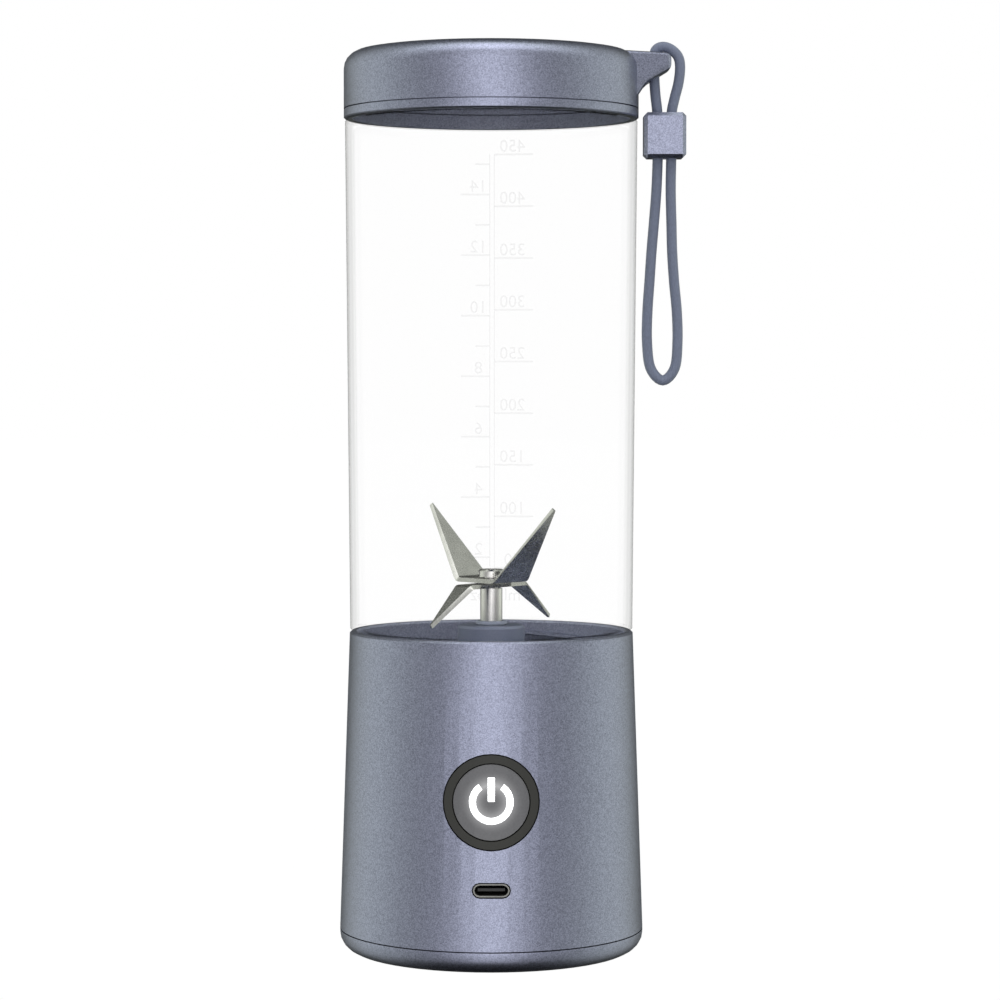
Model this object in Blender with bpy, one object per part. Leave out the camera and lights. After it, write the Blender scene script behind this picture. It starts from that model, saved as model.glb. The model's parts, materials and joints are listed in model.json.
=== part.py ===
"""A portable cup blender: a rechargeable base, a clear jar, a screw lid and a cord wrist strap.

Sizes are in millimetres and become metres where a mesh or a curve is made. The origin is the middle
of the foot, +Z is up, the button and the charging port face -Y, and the strap hangs on +X.
"""
import math

import bmesh
import bpy
from mathutils import Matrix, Vector

MM = 0.001
FIT = 0.3                  # the gap left between pieces that touch
ROUND = 60                 # sides of the large turned pieces
HIDDEN_ROUND = 36          # sides of the wide pieces inside
SMALL_ROUND = 20           # sides of the small turned pieces
BUTTON_ROUND = 40          # sides of the button and of what is turned round it
DECK_ROUND = 40
CELL_ROUND = 32
ROD_ROUND = 24
SCREW_ROUND = 12
HOLE_ROUND = 16
OVERRUN = 1.0              # how far a cutting shape runs past what it cuts
CHAMFER_BELOW = 0.75       # a fillet smaller than this is drawn as one flat
SMALL_ARC_STEP = math.radians(30.0)
LARGE_ARC_STEP = math.radians(18.0)
LARGE_FILLET = 3.0
SHARP_ANGLE = math.radians(32.0)

# Base
BASE_HEIGHT = 81.0         # from the table to the rim that carries the jar
RIM_RADIUS = 35.8
BASE_FLARE = 2.6           # how much wider the base is at its seam than at its rim
BASE_WALL = 2.2
SEAM_HEIGHT = 5.75
BASE_FILLET = 4.9
FOOT_STEP = 0.1            # how far the foot pad stands below the cover
FOOT_MARGIN = 7.4          # from the base's widest circle in to the foot pad's edge
FOOT_DEPTH = 1.2
COVER_FLOOR = 4.2          # height of the cover's inner face
LIP_HEIGHT = 9.0           # top of the lip that enters the shell
LIP_WALL = 1.6
STANDOFF_LENGTH = 9.0
STANDOFF_WIDTH = 5.4
STANDOFF_REACH = 9.5       # from the wall to the standoff's inner face
STANDOFF_ROOF = 1.5        # what is left above a standoff's screw hole
COVER_SCREW_INSET = 8.6    # from the shell's inner wall to the screws that hold the cover
COVER_SCREW_ANGLES = (90.0, 215.0, 325.0)

# Well, boss and bearing
WELL_DEPTH = 10.7          # from the rim down to the motor deck
DECK_THICKNESS = 2.0
LEDGE_WIDTH = 3.0
LEDGE_THICKNESS = 2.0
BOSS_RADIUS = 8.5
BOSS_RISE = 1.4            # how far the boss stands above the rim
BOSS_BORE = 5.3
BOSS_ROOT_FILLET = 2.5
BEARING_LENGTH = 5.6
SEAL_SEAT = 2.0
SEAL_RISE = 1.1            # how far the shaft seal stands above the boss

# Motor
MOTOR_RADIUS = 14.0
MOTOR_LENGTH = 38.0
MOTOR_WALL = 1.0
MAGNET_THICKNESS = 1.9
AIR_GAP = 0.6
MAGNET_SETBACK = 7.0       # from each end of the can to the magnet
ARMATURE_SETBACK = 8.0
MOTOR_SHAFT_RADIUS = 1.6
COMMUTATOR_RADIUS = 4.0
END_CAP_SINK = 0.5
END_CAP_THICKNESS = 2.5
TERMINAL_LENGTH = 3.5
TERMINAL_HALF_WIDTH = 1.3
TERMINAL_HALF_THICKNESS = 0.25
BRACKET_WALL = 0.9
BRACKET_FLANGE = 6.0
BRACKET_FLANGE_THICKNESS = 2.0
BRACKET_STOP = 3.0         # how far the bracket's bottom lip reaches under the can
BRACKET_STOP_THICKNESS = 1.2
BRACKET_SCREW_ANGLES = (90.0, 210.0, 330.0)

# Screws
SCREW_RADIUS = 1.0
SCREW_HEAD_RADIUS = 2.0
SCREW_HEAD_HEIGHT = 1.1
SCREW_BOSS_RADIUS = 2.6

# Electronics
TRAY_THICKNESS = 4.0
CELL_POCKET = 2.0
CELL_HEADROOM = 2.6
CLAMP_THICKNESS = 1.8
TAB_HALF_WIDTH = 2.0
TAB_HALF_LENGTH = 4.0
TAB_THICKNESS = 0.3
BOARD_WIDTH = 32.0
BOARD_THICKNESS = 1.6
BOARD_SETBACK = 3.7        # from the bezel's back to the front of the board
SWITCH_SIZE = 6.0
SWITCH_DEPTH = 3.5
SWITCH_BORE = 1.8
SWITCH_FLOOR = 1.2         # what is left behind the switch's bore
CHIP_SIZE = 5.0
CHIP_THICKNESS = 1.0
CHIP_CENTRE = (-8.5, 30.5)
COIL_RADIUS = 3.2
COIL_THICKNESS = 3.0
COIL_CENTRE = (9.0, 30.5)
LED_REACH = 5.0
LED_SIZE = (1.6, 0.7, 0.8)
WIRE_RADIUS = 0.6
WIRE_PRESS = 0.2           # how far a wire's foot sinks towards what it is soldered to

# Button
BUTTON_HEIGHT = 42.15
BUTTON_TRAVEL = 0.8
BEZEL_RADIUS = 11.5
BEZEL_WIDTH = 1.95
BEZEL_FLANGE_WIDTH = 1.5
BEZEL_FLANGE_THICKNESS = 2.3
BEZEL_FLANGE_PLAY = 0.4    # from the wall's inner curve back to the flange
BEZEL_LIP_THICKNESS = 0.9  # an inner lip keeps the cap from coming out and light from leaking
BEZEL_LIP_WIDTH = 1.3
CAP_GAP = 0.3
CAP_PLATE_BACK = 2.6
CAP_SKIRT_WALL = 1.1
GUIDE_THICKNESS = 1.2
GUIDE_STEM_RADIUS = 2.0
PLUNGER_REACH = 1.2        # from the switch's front to the plunger's front
FRONT_STOCK = 2.0          # what stands proud until it is trimmed to the base's curve
BEZEL_SINK = 0.1           # how far the bezel lies below the shell's surface
CAP_SINK = 0.35
SYMBOL_RADIUS = 4.6
SYMBOL_STROKE = 1.5
SYMBOL_OPENING = 36.0      # degrees to each side of the top, where the ring is open
SYMBOL_GAP = 0.08
SYMBOL_STEPS = 22
SYMBOL_BAR_LOW = 0.2
SYMBOL_BAR_RISE = 1.36     # how far the bar rises past the ring's middle line

# Charging port
PORT_HEIGHT = 20.8
PORT_WIDTH = 8.94
PORT_TALL = 3.26
PORT_WALL = 0.35
PORT_SINK = 0.35
TONGUE_WIDTH = 6.6
TONGUE_THICKNESS = 0.7
TONGUE_SINK = 1.4          # from the port's mouth to the tongue
PORT_BASE = 2.0            # thickness of the insulator that carries the tongue
PORT_PLAY = 0.15           # between the insulator and the shell

# Blades
SHAFT_RADIUS = 2.8
SHAFT_NECK_RADIUS = 1.9
BLADE_THICKNESS = 1.0
BLADE_GRIND = 0.8
BLADE_BEND = 2.0
BLADE_POINT = 0.35         # half the width of a blade's tip
BLADE_EDGE = 0.12
LOWER_PLATE_RISE = 11.5    # height of the lower blade's plate above the rim
LOWER_HALF_WIDTH = 3.15
LOWER_BEND_RADIUS = 10.8
LOWER_TIP_RADIUS = 23.4
LOWER_TIP_DROP = 9.2
LOWER_HEADING = 230.3
UPPER_HALF_WIDTH = 5.9
UPPER_BEND_RADIUS = 6.8
UPPER_TIP_RADIUS = 22.6
UPPER_TIP_RISE = 18.5
UPPER_HEADING = 313.0
NUT_RADIUS = 3.25
NUT_HEIGHT = 1.9
NUT_RECESS = 0.8           # how far the shaft ends below the top of its nut

# Jar
JAR_HEIGHT = 128.6         # the clear length between the base's rim and the lid's edge
JAR_STEP = 0.1             # how far the jar stands back from the rim it meets
JAR_FLARE = 1.1            # how much wider the jar is at the top than at the foot
JAR_WALL = 2.0
LOWER_NECK_LENGTH = 9.0
UPPER_NECK_LENGTH = 10.9
SHOULDER_THICKNESS = 1.6
JAR_EDGE = 0.5             # fillet of the jar's outer edges
JAR_INNER_EDGE = 0.7
SEAL_HEIGHT = 1.4

# Threads, three starts on each neck
THREAD_STARTS = 3
THREAD_LEAD = 12.0
THREAD_SWEEP = 80.0        # degrees that one ridge spans
THREAD_ANGLE = 11.3        # where the first ridge starts, off the facets of the walls
THREAD_HEIGHT = 1.0        # how far a ridge stands out
THREAD_ROOT = 1.2          # axial thickness at the foot of a ridge
THREAD_CREST = 0.7
THREAD_PLAY = 0.35         # radial gap from a ridge to the opposite wall
THREAD_FACETS = 12
THREAD_RUN_OUT = 0.15      # share of a ridge's height that is left at its ends
THREAD_BITE = 0.4          # how deep a ridge is rooted in its wall
COLLAR_THREAD_DEPTH = 5.2  # from the rim down to the start of the collar's ridges

# Lid
LID_HEIGHT = 17.2
LID_OVERHANG = 0.3
LID_WALL = 2.2
LID_TOP_WALL = 2.6
LID_FILLET = 4.6
TRIM_HEIGHT = 2.2
TRIM_LIP = 1.1
LINER_THICKNESS = 1.6

# Lug on the lid
LUG_REACH = 8.0            # from the lid's side to the lug's end
LUG_DEPTH = 9.0            # at its end
LUG_TAPER = 0.35           # how much half its depth grows per millimetre towards the lid
LUG_HOLE_REACH = 3.9       # from the lid's side to the middle of the hole
LUG_HOLE_RADIUS = 1.75
LUG_EDGE = 0.9

# Strap
CORD_RADIUS = 1.3
SLIDER_SIZE = (10.6, 8.6, 11.4)
SLIDER_CENTRE = (43.6, 0.0, 205.7)
SLIDER_CHAMFER = 0.9
STRAND_SPACING = 3.4
STRAP_PIVOT = (43.6, 0.0, 224.4)
CORD_ROUTE = (
    (41.9, 0.0, 206.2), (41.8, 0.0, 211.4), (41.3, 0.0, 216.0), (41.0, 0.0, 220.5),
    (41.0, 0.0, 225.6), (41.6, 0.0, 227.4), (43.3, 0.0, 228.0), (45.3, 0.0, 227.3),
    (47.0, 0.0, 225.5), (47.5, 0.0, 222.9), (47.1, 0.0, 219.0), (46.1, 0.0, 215.0),
    (45.4, 0.0, 211.4), (45.3, 0.0, 206.0), (45.3, 0.0, 200.0), (45.2, 0.0, 192.0),
    (45.4, 0.0, 184.0), (45.6, 0.0, 176.7), (46.1, 0.0, 169.1), (46.8, 0.0, 161.6),
    (47.0, 0.0, 154.0), (46.3, 0.0, 147.3), (43.3, 0.0, 144.2), (40.2, 0.0, 147.3),
    (39.3, 0.0, 154.0), (39.4, 0.0, 161.6), (39.9, 0.0, 169.1), (40.4, 0.0, 176.7),
    (41.0, 0.0, 184.0), (41.6, 0.0, 192.0), (41.9, 0.0, 200.0), (41.9, 0.0, 205.6),
)
CORD_STEPS = 2             # points that a stretch of the route is read at

# Places that follow from the sizes above
THREAD_OFFSET = THREAD_ROOT + FIT
SHELL_BOTTOM = SEAM_HEIGHT + FIT / 2
COVER_TOP = SEAM_HEIGHT - FIT / 2
DECK_TOP = BASE_HEIGHT - WELL_DEPTH
DECK_BOTTOM = DECK_TOP - DECK_THICKNESS
LEDGE_TOP = DECK_BOTTOM - FIT
LEDGE_BOTTOM = LEDGE_TOP - LEDGE_THICKNESS
BOSS_TOP = BASE_HEIGHT + BOSS_RISE
BEARING_TOP = BOSS_TOP - SEAL_SEAT - FIT
BEARING_BOTTOM = BEARING_TOP - BEARING_LENGTH
MOTOR_TOP = DECK_BOTTOM - FIT
MOTOR_BOTTOM = MOTOR_TOP - MOTOR_LENGTH
END_CAP_BOTTOM = MOTOR_BOTTOM + END_CAP_SINK
END_CAP_TOP = END_CAP_BOTTOM + END_CAP_THICKNESS
TERMINAL_BOTTOM = MOTOR_BOTTOM - TERMINAL_LENGTH
BRACKET_OUTER = MOTOR_RADIUS + FIT + BRACKET_WALL
FLANGE_TOP = LEDGE_BOTTOM
FLANGE_BOTTOM = FLANGE_TOP - BRACKET_FLANGE_THICKNESS
BRACKET_SCREW_REACH = BRACKET_OUTER + BRACKET_FLANGE / 2
TRAY_BOTTOM = COVER_FLOOR + FIT
TRAY_TOP = TRAY_BOTTOM + TRAY_THICKNESS
STANDOFF_BOTTOM = LIP_HEIGHT + FIT
STANDOFF_TOP = STANDOFF_BOTTOM + STANDOFF_LENGTH
CLAMP_TOP = LEDGE_BOTTOM - LEDGE_WIDTH - LEDGE_THICKNESS
CLAMP_BOTTOM = CLAMP_TOP - CLAMP_THICKNESS
CELL_BOTTOM = TRAY_TOP - CELL_POCKET + FIT
CELL_TOP = CLAMP_BOTTOM - CELL_HEADROOM
TAB_TOP = CELL_TOP + FIT + TAB_THICKNESS
JAR_FOOT = BASE_HEIGHT + FIT
JAR_TOP = BASE_HEIGHT + JAR_HEIGHT
JAR_FOOT_RADIUS = RIM_RADIUS - JAR_STEP
JAR_TOP_RADIUS = JAR_FOOT_RADIUS + JAR_FLARE
COLLAR_RADIUS = RIM_RADIUS - BASE_WALL
LOWER_NECK_RADIUS = COLLAR_RADIUS - THREAD_HEIGHT - THREAD_PLAY
LOWER_NECK_BOTTOM = JAR_FOOT - LOWER_NECK_LENGTH
LID_RADIUS = JAR_TOP_RADIUS + LID_OVERHANG
SKIRT_RADIUS = LID_RADIUS - LID_WALL
UPPER_NECK_RADIUS = SKIRT_RADIUS - THREAD_HEIGHT - THREAD_PLAY
UPPER_NECK_TOP = JAR_TOP + UPPER_NECK_LENGTH
LID_BOTTOM = JAR_TOP + FIT
LID_TOP = JAR_TOP + LID_HEIGHT
LID_CEILING = LID_TOP - LID_TOP_WALL
TRIM_TOP = LID_BOTTOM + TRIM_HEIGHT
LID_SHELL_BOTTOM = TRIM_TOP + FIT
LOWER_PLATE = BASE_HEIGHT + LOWER_PLATE_RISE
UPPER_PLATE = LOWER_PLATE + BLADE_THICKNESS + FIT
SHAFT_SHOULDER = LOWER_PLATE - BLADE_THICKNESS / 2 - FIT
COUPLING_SPLIT = DECK_TOP + 1.2


def base_radius(height):
    """The outer radius of the tapered base at a height."""
    share = (BASE_HEIGHT - height) / (BASE_HEIGHT - SEAM_HEIGHT)
    return RIM_RADIUS + BASE_FLARE * share


def inner_radius(height):
    """The radius inside the base shell's wall at a height."""
    return base_radius(height) - BASE_WALL


CELL_RADIUS = (inner_radius(CLAMP_TOP) - 2.0 * FIT - BRACKET_OUTER) / 2.0 - FIT
CELL_REACH = BRACKET_OUTER + FIT + CELL_RADIUS
BUTTON_FACE = -base_radius(BUTTON_HEIGHT)
CAP_RADIUS = BEZEL_RADIUS - BEZEL_WIDTH - CAP_GAP
BEZEL_FLANGE_RADIUS = BEZEL_RADIUS + BEZEL_FLANGE_WIDTH
WALL_BEHIND_FLANGE = math.sqrt(inner_radius(BUTTON_HEIGHT) ** 2 - BEZEL_FLANGE_RADIUS ** 2)
BEZEL_FLANGE_FRONT = round(
    base_radius(BUTTON_HEIGHT) - WALL_BEHIND_FLANGE + BEZEL_FLANGE_PLAY, 1,
)
BEZEL_FLANGE_BACK = BEZEL_FLANGE_FRONT + BEZEL_FLANGE_THICKNESS
BEZEL_LIP_FRONT = BEZEL_FLANGE_BACK - BEZEL_LIP_THICKNESS
CAP_SKIRT_BACK = BEZEL_LIP_FRONT - BUTTON_TRAVEL - FIT
BOARD_FRONT = BUTTON_FACE + BEZEL_FLANGE_BACK + BOARD_SETBACK
BOARD_BACK = BOARD_FRONT + BOARD_THICKNESS
BOARD_MOUNT = BOARD_FRONT - FIT
FOOT_RADIUS = RIM_RADIUS + BASE_FLARE - FOOT_MARGIN
COVER_SCREW_REACH = inner_radius(STANDOFF_BOTTOM) - COVER_SCREW_INSET


# Scene and materials

def clear_scene():
    for old in list(bpy.data.objects):
        bpy.data.objects.remove(old, do_unlink=True)


def material(name, colour, roughness, metallic=0.0, alpha=1.0, glow=0.0):
    made = bpy.data.materials.new(name)
    made.use_nodes = True
    shader = made.node_tree.nodes["Principled BSDF"]
    shader.inputs["Base Color"].default_value = (*colour, 1.0)
    shader.inputs["Roughness"].default_value = roughness
    shader.inputs["Metallic"].default_value = metallic
    shader.inputs["Alpha"].default_value = alpha
    shader.inputs["Emission Color"].default_value = (*colour, 1.0)
    shader.inputs["Emission Strength"].default_value = glow
    made.diffuse_color = (*colour, alpha)
    return made


def make_materials():
    return {
        "paint": material("slate_paint", (0.24, 0.26, 0.37), 0.38, 0.6),
        "slate": material("slate_plastic", (0.16, 0.18, 0.27), 0.45),
        "clear": material("clear_plastic", (0.93, 0.94, 0.95), 0.04, alpha=0.25),
        "steel": material("brushed_steel", (0.62, 0.61, 0.60), 0.28, 1.0),
        "zinc": material("zinc_plate", (0.50, 0.50, 0.52), 0.40, 1.0),
        "brass": material("sintered_bronze", (0.55, 0.38, 0.16), 0.45, 1.0),
        "copper": material("armature_copper", (0.55, 0.22, 0.10), 0.40, 1.0),
        "magnet": material("ferrite", (0.06, 0.06, 0.065), 0.60),
        "dark": material("dark_plastic", (0.045, 0.045, 0.042), 0.40),
        "cap": material("cap_plastic", (0.15, 0.15, 0.16), 0.40),
        "light": material("light_guide", (1.0, 1.0, 1.0), 0.20, glow=4.0),
        "black": material("black_plastic", (0.02, 0.02, 0.022), 0.50),
        "rubber": material("grey_rubber", (0.05, 0.05, 0.055), 0.80),
        "silicone": material("clear_silicone", (0.55, 0.57, 0.62), 0.55),
        "board": material("green_board", (0.02, 0.16, 0.07), 0.45),
        "cell": material("cell_wrap", (0.08, 0.22, 0.50), 0.35),
        "red": material("red_wire", (0.55, 0.03, 0.03), 0.45),
        "cord": material("slate_cord", (0.15, 0.17, 0.25), 0.85),
    }


# Building blocks

def home(name, place, parent=None):
    """An empty that carries the pieces of one body, placed on the body's joint axis."""
    empty = bpy.data.objects.new(name, None)
    bpy.context.collection.objects.link(empty)
    empty.parent = parent
    origin = Vector(parent["place"]) if parent else Vector()
    empty["place"] = place
    empty.location = (Vector(place) - origin) * MM
    return empty


def join(target, other):
    """Move the shapes of one mesh into another."""
    spare = bpy.data.meshes.new("spare")
    other.to_mesh(spare)
    other.free()
    target.from_mesh(spare)
    bpy.data.meshes.remove(spare)


def finish(name, bm, surface, body):
    """Turn a mesh drawn in world millimetres into an object of one body."""
    bmesh.ops.remove_doubles(bm, verts=bm.verts, dist=1e-4)
    bmesh.ops.recalc_face_normals(bm, faces=bm.faces)
    bmesh.ops.translate(bm, verts=bm.verts, vec=-Vector(body["place"]))
    bmesh.ops.scale(bm, verts=bm.verts, vec=(MM, MM, MM))
    mesh = bpy.data.meshes.new(name)
    bm.to_mesh(mesh)
    bm.free()
    mesh.materials.append(surface)
    mesh.polygons.foreach_set("use_smooth", [True] * len(mesh.polygons))
    mesh.set_sharp_from_angle(angle=SHARP_ANGLE)
    obj = bpy.data.objects.new(name, mesh)
    bpy.context.collection.objects.link(obj)
    obj.parent = body
    return obj


def combine(target, bm, operation):
    """Apply the shapes in bm to the target with an exact Boolean."""
    tool = finish(f"{target.name}_{operation.lower()}_tool", bm, target.data.materials[0], target.parent)
    tool.hide_render = True
    tool.display_type = "WIRE"
    modifier = target.modifiers.new(operation.title(), "BOOLEAN")
    modifier.operation = operation
    modifier.solver = "EXACT"
    modifier.object = tool


def cut(target, bm):
    combine(target, bm, "DIFFERENCE")


def fuse(target, bm):
    combine(target, bm, "UNION")


def keep_inside(target, bm):
    combine(target, bm, "INTERSECT")


def arc_steps(turn, radius):
    if radius < CHAMFER_BELOW:
        return 1
    step = LARGE_ARC_STEP if radius > LARGE_FILLET else SMALL_ARC_STEP
    return math.ceil(turn / step)


def arc(corner, before, after, radius):
    """Points of the arc that rounds one corner of an outline."""
    here = Vector(corner)
    to_before = (Vector(before) - here).normalized()
    to_after = (Vector(after) - here).normalized()
    half = to_before.angle(to_after) / 2.0
    turn = math.pi - 2.0 * half
    reach = radius / math.tan(half)
    centre = here + (to_before + to_after).normalized() * (radius / math.sin(half))
    start = here + to_before * reach - centre
    finish_at = here + to_after * reach - centre
    steps = arc_steps(turn, radius)
    points = []
    for step in range(steps + 1):
        share = step / steps
        blend = math.sin((1.0 - share) * turn) * start + math.sin(share * turn) * finish_at
        points.append(centre + blend / math.sin(turn))
    return points


def outline(corners):
    """An outline from corners (a, b) or (a, b, fillet radius)."""
    points = []
    count = len(corners)
    for index, corner in enumerate(corners):
        place = corner[:2]
        if len(corner) == 2:
            points.append(Vector(place))
            continue
        before = corners[index - 1][:2]
        after = corners[(index + 1) % count][:2]
        points.extend(arc(place, before, after, corner[2]))
    return points


def add_turned(bm, corners, sides=SMALL_ROUND):
    """Revolve an outline of (radius, height) corners around Z."""
    points = outline(corners)
    closed = points[0].x > 1e-6
    verts = [bm.verts.new((point.x, 0.0, point.y)) for point in points]
    edges = [bm.edges.new(pair) for pair in zip(verts, verts[1:])]
    if closed:
        edges.append(bm.edges.new((verts[-1], verts[0])))
    bmesh.ops.spin(
        bm, geom=verts + edges, cent=(0, 0, 0), axis=(0, 0, 1), dvec=(0, 0, 0),
        angle=math.tau, steps=sides, use_merge=True, use_duplicate=False,
    )


def turned(name, corners, surface, body, sides=SMALL_ROUND):
    bm = bmesh.new()
    add_turned(bm, corners, sides)
    return finish(name, bm, surface, body)


def turned_along_y(corners, centre, sides=SMALL_ROUND):
    """Revolve an outline of (radius, depth) corners around a line along Y."""
    bm = bmesh.new()
    add_turned(bm, corners, sides)
    bmesh.ops.remove_doubles(bm, verts=bm.verts, dist=1e-4)
    bmesh.ops.rotate(bm, verts=bm.verts, matrix=Matrix.Rotation(math.radians(-90.0), 3, "X"))
    bmesh.ops.translate(bm, verts=bm.verts, vec=centre)
    return bm


def add_rod(bm, radius, start, end, sides=SMALL_ROUND):
    """A round rod between two points."""
    line = Vector(end) - Vector(start)
    turn = line.to_track_quat("Z", "Y").to_matrix().to_4x4()
    place = Matrix.Translation((Vector(start) + Vector(end)) / 2.0) @ turn
    bmesh.ops.create_cone(
        bm, cap_ends=True, segments=sides, radius1=radius, radius2=radius,
        depth=line.length, matrix=place,
    )


def add_block(bm, low, high):
    """A box between two corners."""
    low = Vector(low)
    high = Vector(high)
    size = high - low
    place = Matrix.Translation((low + high) / 2.0) @ Matrix.Diagonal((*size, 1.0))
    bmesh.ops.create_cube(bm, size=1.0, matrix=place)


def add_prism(bm, points, depth, place):
    """Extrude a flat outline, drawn in the XY plane, by a depth along its own Z."""
    verts = [bm.verts.new((point.x, point.y, 0.0)) for point in points]
    face = bm.faces.new(verts)
    grown = bmesh.ops.extrude_face_region(bm, geom=[face])["geom"]
    raised = [item for item in grown if isinstance(item, bmesh.types.BMVert)]
    bmesh.ops.translate(bm, verts=raised, vec=(0.0, 0.0, depth))
    bmesh.ops.transform(bm, matrix=place, verts=verts + raised)


def block(name, low, high, surface, body, chamfer=0.0):
    bm = bmesh.new()
    add_block(bm, low, high)
    if chamfer:
        bmesh.ops.bevel(bm, geom=bm.edges[:], offset=chamfer, segments=1, affect="EDGES")
    return finish(name, bm, surface, body)


def facing_front(height, depth):
    """Places an outline drawn in XY upright in XZ, from a depth on the -Y side towards +Y."""
    return Matrix(((1, 0, 0, 0), (0, 0, 1, depth), (0, 1, 0, height), (0, 0, 0, 1)))


def pill(width, tall):
    radius = tall / 2.0 - 0.01
    half = width / 2.0
    return outline((
        (-half, -tall / 2.0, radius), (half, -tall / 2.0, radius),
        (half, tall / 2.0, radius), (-half, tall / 2.0, radius),
    ))


def around(angle, reach, height):
    turn = math.radians(angle)
    return Vector((reach * math.cos(turn), reach * math.sin(turn), height))


def screw(name, place, length, surface, body):
    """A round-head screw that points up, with its head's underside at the place."""
    bm = bmesh.new()
    add_turned(bm, (
        (0.0, -SCREW_HEAD_HEIGHT), (SCREW_HEAD_RADIUS, -SCREW_HEAD_HEIGHT),
        (SCREW_HEAD_RADIUS, 0.0), (SCREW_RADIUS, 0.0), (SCREW_RADIUS, length), (0.0, length),
    ), SCREW_ROUND)
    bmesh.ops.translate(bm, verts=bm.verts, vec=place)
    finish(name, bm, surface, body)


def add_ridges(bm, wall, crest, start):
    """Helical thread ridges that stand from a wall radius to a crest radius."""
    inward = -1.0 if crest < wall else 1.0
    root = wall - inward * THREAD_BITE
    for turn in range(THREAD_STARTS):
        first = THREAD_ANGLE + 360.0 / THREAD_STARTS * turn
        rings = []
        for step in range(THREAD_FACETS + 1):
            share = step / THREAD_FACETS
            angle = first + THREAD_SWEEP * share
            height = start + THREAD_LEAD * THREAD_SWEEP * share / 360.0
            taper = min(1.0, 4.0 * min(share, 1.0 - share))
            tip = wall + (crest - wall) * (THREAD_RUN_OUT + (1.0 - THREAD_RUN_OUT) * taper)
            rings.append([
                bm.verts.new(around(angle, root, height - THREAD_ROOT / 2)),
                bm.verts.new(around(angle, tip, height - THREAD_CREST / 2)),
                bm.verts.new(around(angle, tip, height + THREAD_CREST / 2)),
                bm.verts.new(around(angle, root, height + THREAD_ROOT / 2)),
            ])
        for one, other in zip(rings, rings[1:]):
            for side in range(4):
                after = (side + 1) % 4
                bm.faces.new((one[side], one[after], other[after], other[side]))
        bm.faces.new(reversed(rings[0]))
        bm.faces.new(rings[-1])


# Base

def make_base_shell(looks, body):
    shell = turned("base_shell", (
        (base_radius(SHELL_BOTTOM), SHELL_BOTTOM),
        (RIM_RADIUS, BASE_HEIGHT, 0.5),
        (COLLAR_RADIUS, BASE_HEIGHT, 0.5),
        (inner_radius(LEDGE_TOP), LEDGE_TOP),
        (inner_radius(LEDGE_TOP) - LEDGE_WIDTH, LEDGE_TOP),
        (inner_radius(LEDGE_TOP) - LEDGE_WIDTH, LEDGE_BOTTOM),
        (inner_radius(LEDGE_BOTTOM), LEDGE_BOTTOM - LEDGE_WIDTH),
        (inner_radius(SHELL_BOTTOM), SHELL_BOTTOM),
    ), looks["paint"], body, ROUND)
    added = bmesh.new()
    add_ridges(added, COLLAR_RADIUS, LOWER_NECK_RADIUS + THREAD_PLAY, collar_thread())
    for angle in COVER_SCREW_ANGLES:
        outer = inner_radius(STANDOFF_BOTTOM) + BASE_WALL / 2
        ring = bmesh.new()
        add_block(
            ring, (outer - STANDOFF_REACH, -STANDOFF_WIDTH / 2, STANDOFF_BOTTOM),
            (outer, STANDOFF_WIDTH / 2, STANDOFF_TOP),
        )
        bmesh.ops.rotate(ring, verts=ring.verts, matrix=Matrix.Rotation(math.radians(angle), 3, "Z"))
        join(added, ring)
    fuse(shell, added)
    holes = bmesh.new()
    for angle in COVER_SCREW_ANGLES:
        low = around(angle, COVER_SCREW_REACH, STANDOFF_BOTTOM - OVERRUN)
        high = around(angle, COVER_SCREW_REACH, STANDOFF_TOP - STANDOFF_ROOF)
        add_rod(holes, SCREW_RADIUS + FIT, low, high, HOLE_ROUND)
    front = BUTTON_FACE - 2.0 * BASE_WALL
    back = BUTTON_FACE + 4.0 * BASE_WALL
    add_rod(
        holes, BEZEL_RADIUS + FIT, (0, front, BUTTON_HEIGHT), (0, back, BUTTON_HEIGHT), BUTTON_ROUND,
    )
    add_prism(
        holes, pill(PORT_WIDTH + 2 * FIT, PORT_TALL + 2 * FIT), back - front,
        facing_front(PORT_HEIGHT, front),
    )
    cut(shell, holes)


def collar_thread():
    """Height at which the collar's ridges start."""
    return BASE_HEIGHT - COLLAR_THREAD_DEPTH


def make_bottom_cover(looks, body):
    wide = base_radius(SHELL_BOTTOM)
    lip = inner_radius(LIP_HEIGHT) - FIT
    recess = FOOT_DEPTH + FIT
    cover = turned("bottom_cover", (
        (0.0, recess), (FOOT_RADIUS + FIT, recess), (FOOT_RADIUS + FIT, FOOT_STEP),
        (wide, FOOT_STEP, BASE_FILLET - 0.05), (wide, COVER_TOP), (lip, COVER_TOP),
        (lip, LIP_HEIGHT), (lip - LIP_WALL, LIP_HEIGHT), (lip - LIP_WALL, COVER_FLOOR),
        (0.0, COVER_FLOOR),
    ), looks["paint"], body, ROUND)
    holes = bmesh.new()
    for angle in COVER_SCREW_ANGLES:
        low = around(angle, COVER_SCREW_REACH, recess - OVERRUN)
        add_stepped_hole(holes, low, screw_seat(), COVER_FLOOR + OVERRUN)
    cut(cover, holes)


def add_stepped_hole(bm, low, seat, high):
    """A screw's hole from a place upwards: wide up to the seat and narrow from there."""
    spot = bmesh.new()
    add_turned(spot, (
        (0.0, low.z), (SCREW_HEAD_RADIUS + FIT, low.z), (SCREW_HEAD_RADIUS + FIT, seat),
        (SCREW_RADIUS + FIT, seat), (SCREW_RADIUS + FIT, high), (0.0, high),
    ), HOLE_ROUND)
    bmesh.ops.remove_doubles(spot, verts=spot.verts, dist=1e-4)
    bmesh.ops.translate(spot, verts=spot.verts, vec=(low.x, low.y, 0.0))
    join(bm, spot)


def screw_seat():
    """Height of the face in the cover that a screw's head bears on."""
    return FOOT_DEPTH + FIT + SCREW_HEAD_HEIGHT + FIT


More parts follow.
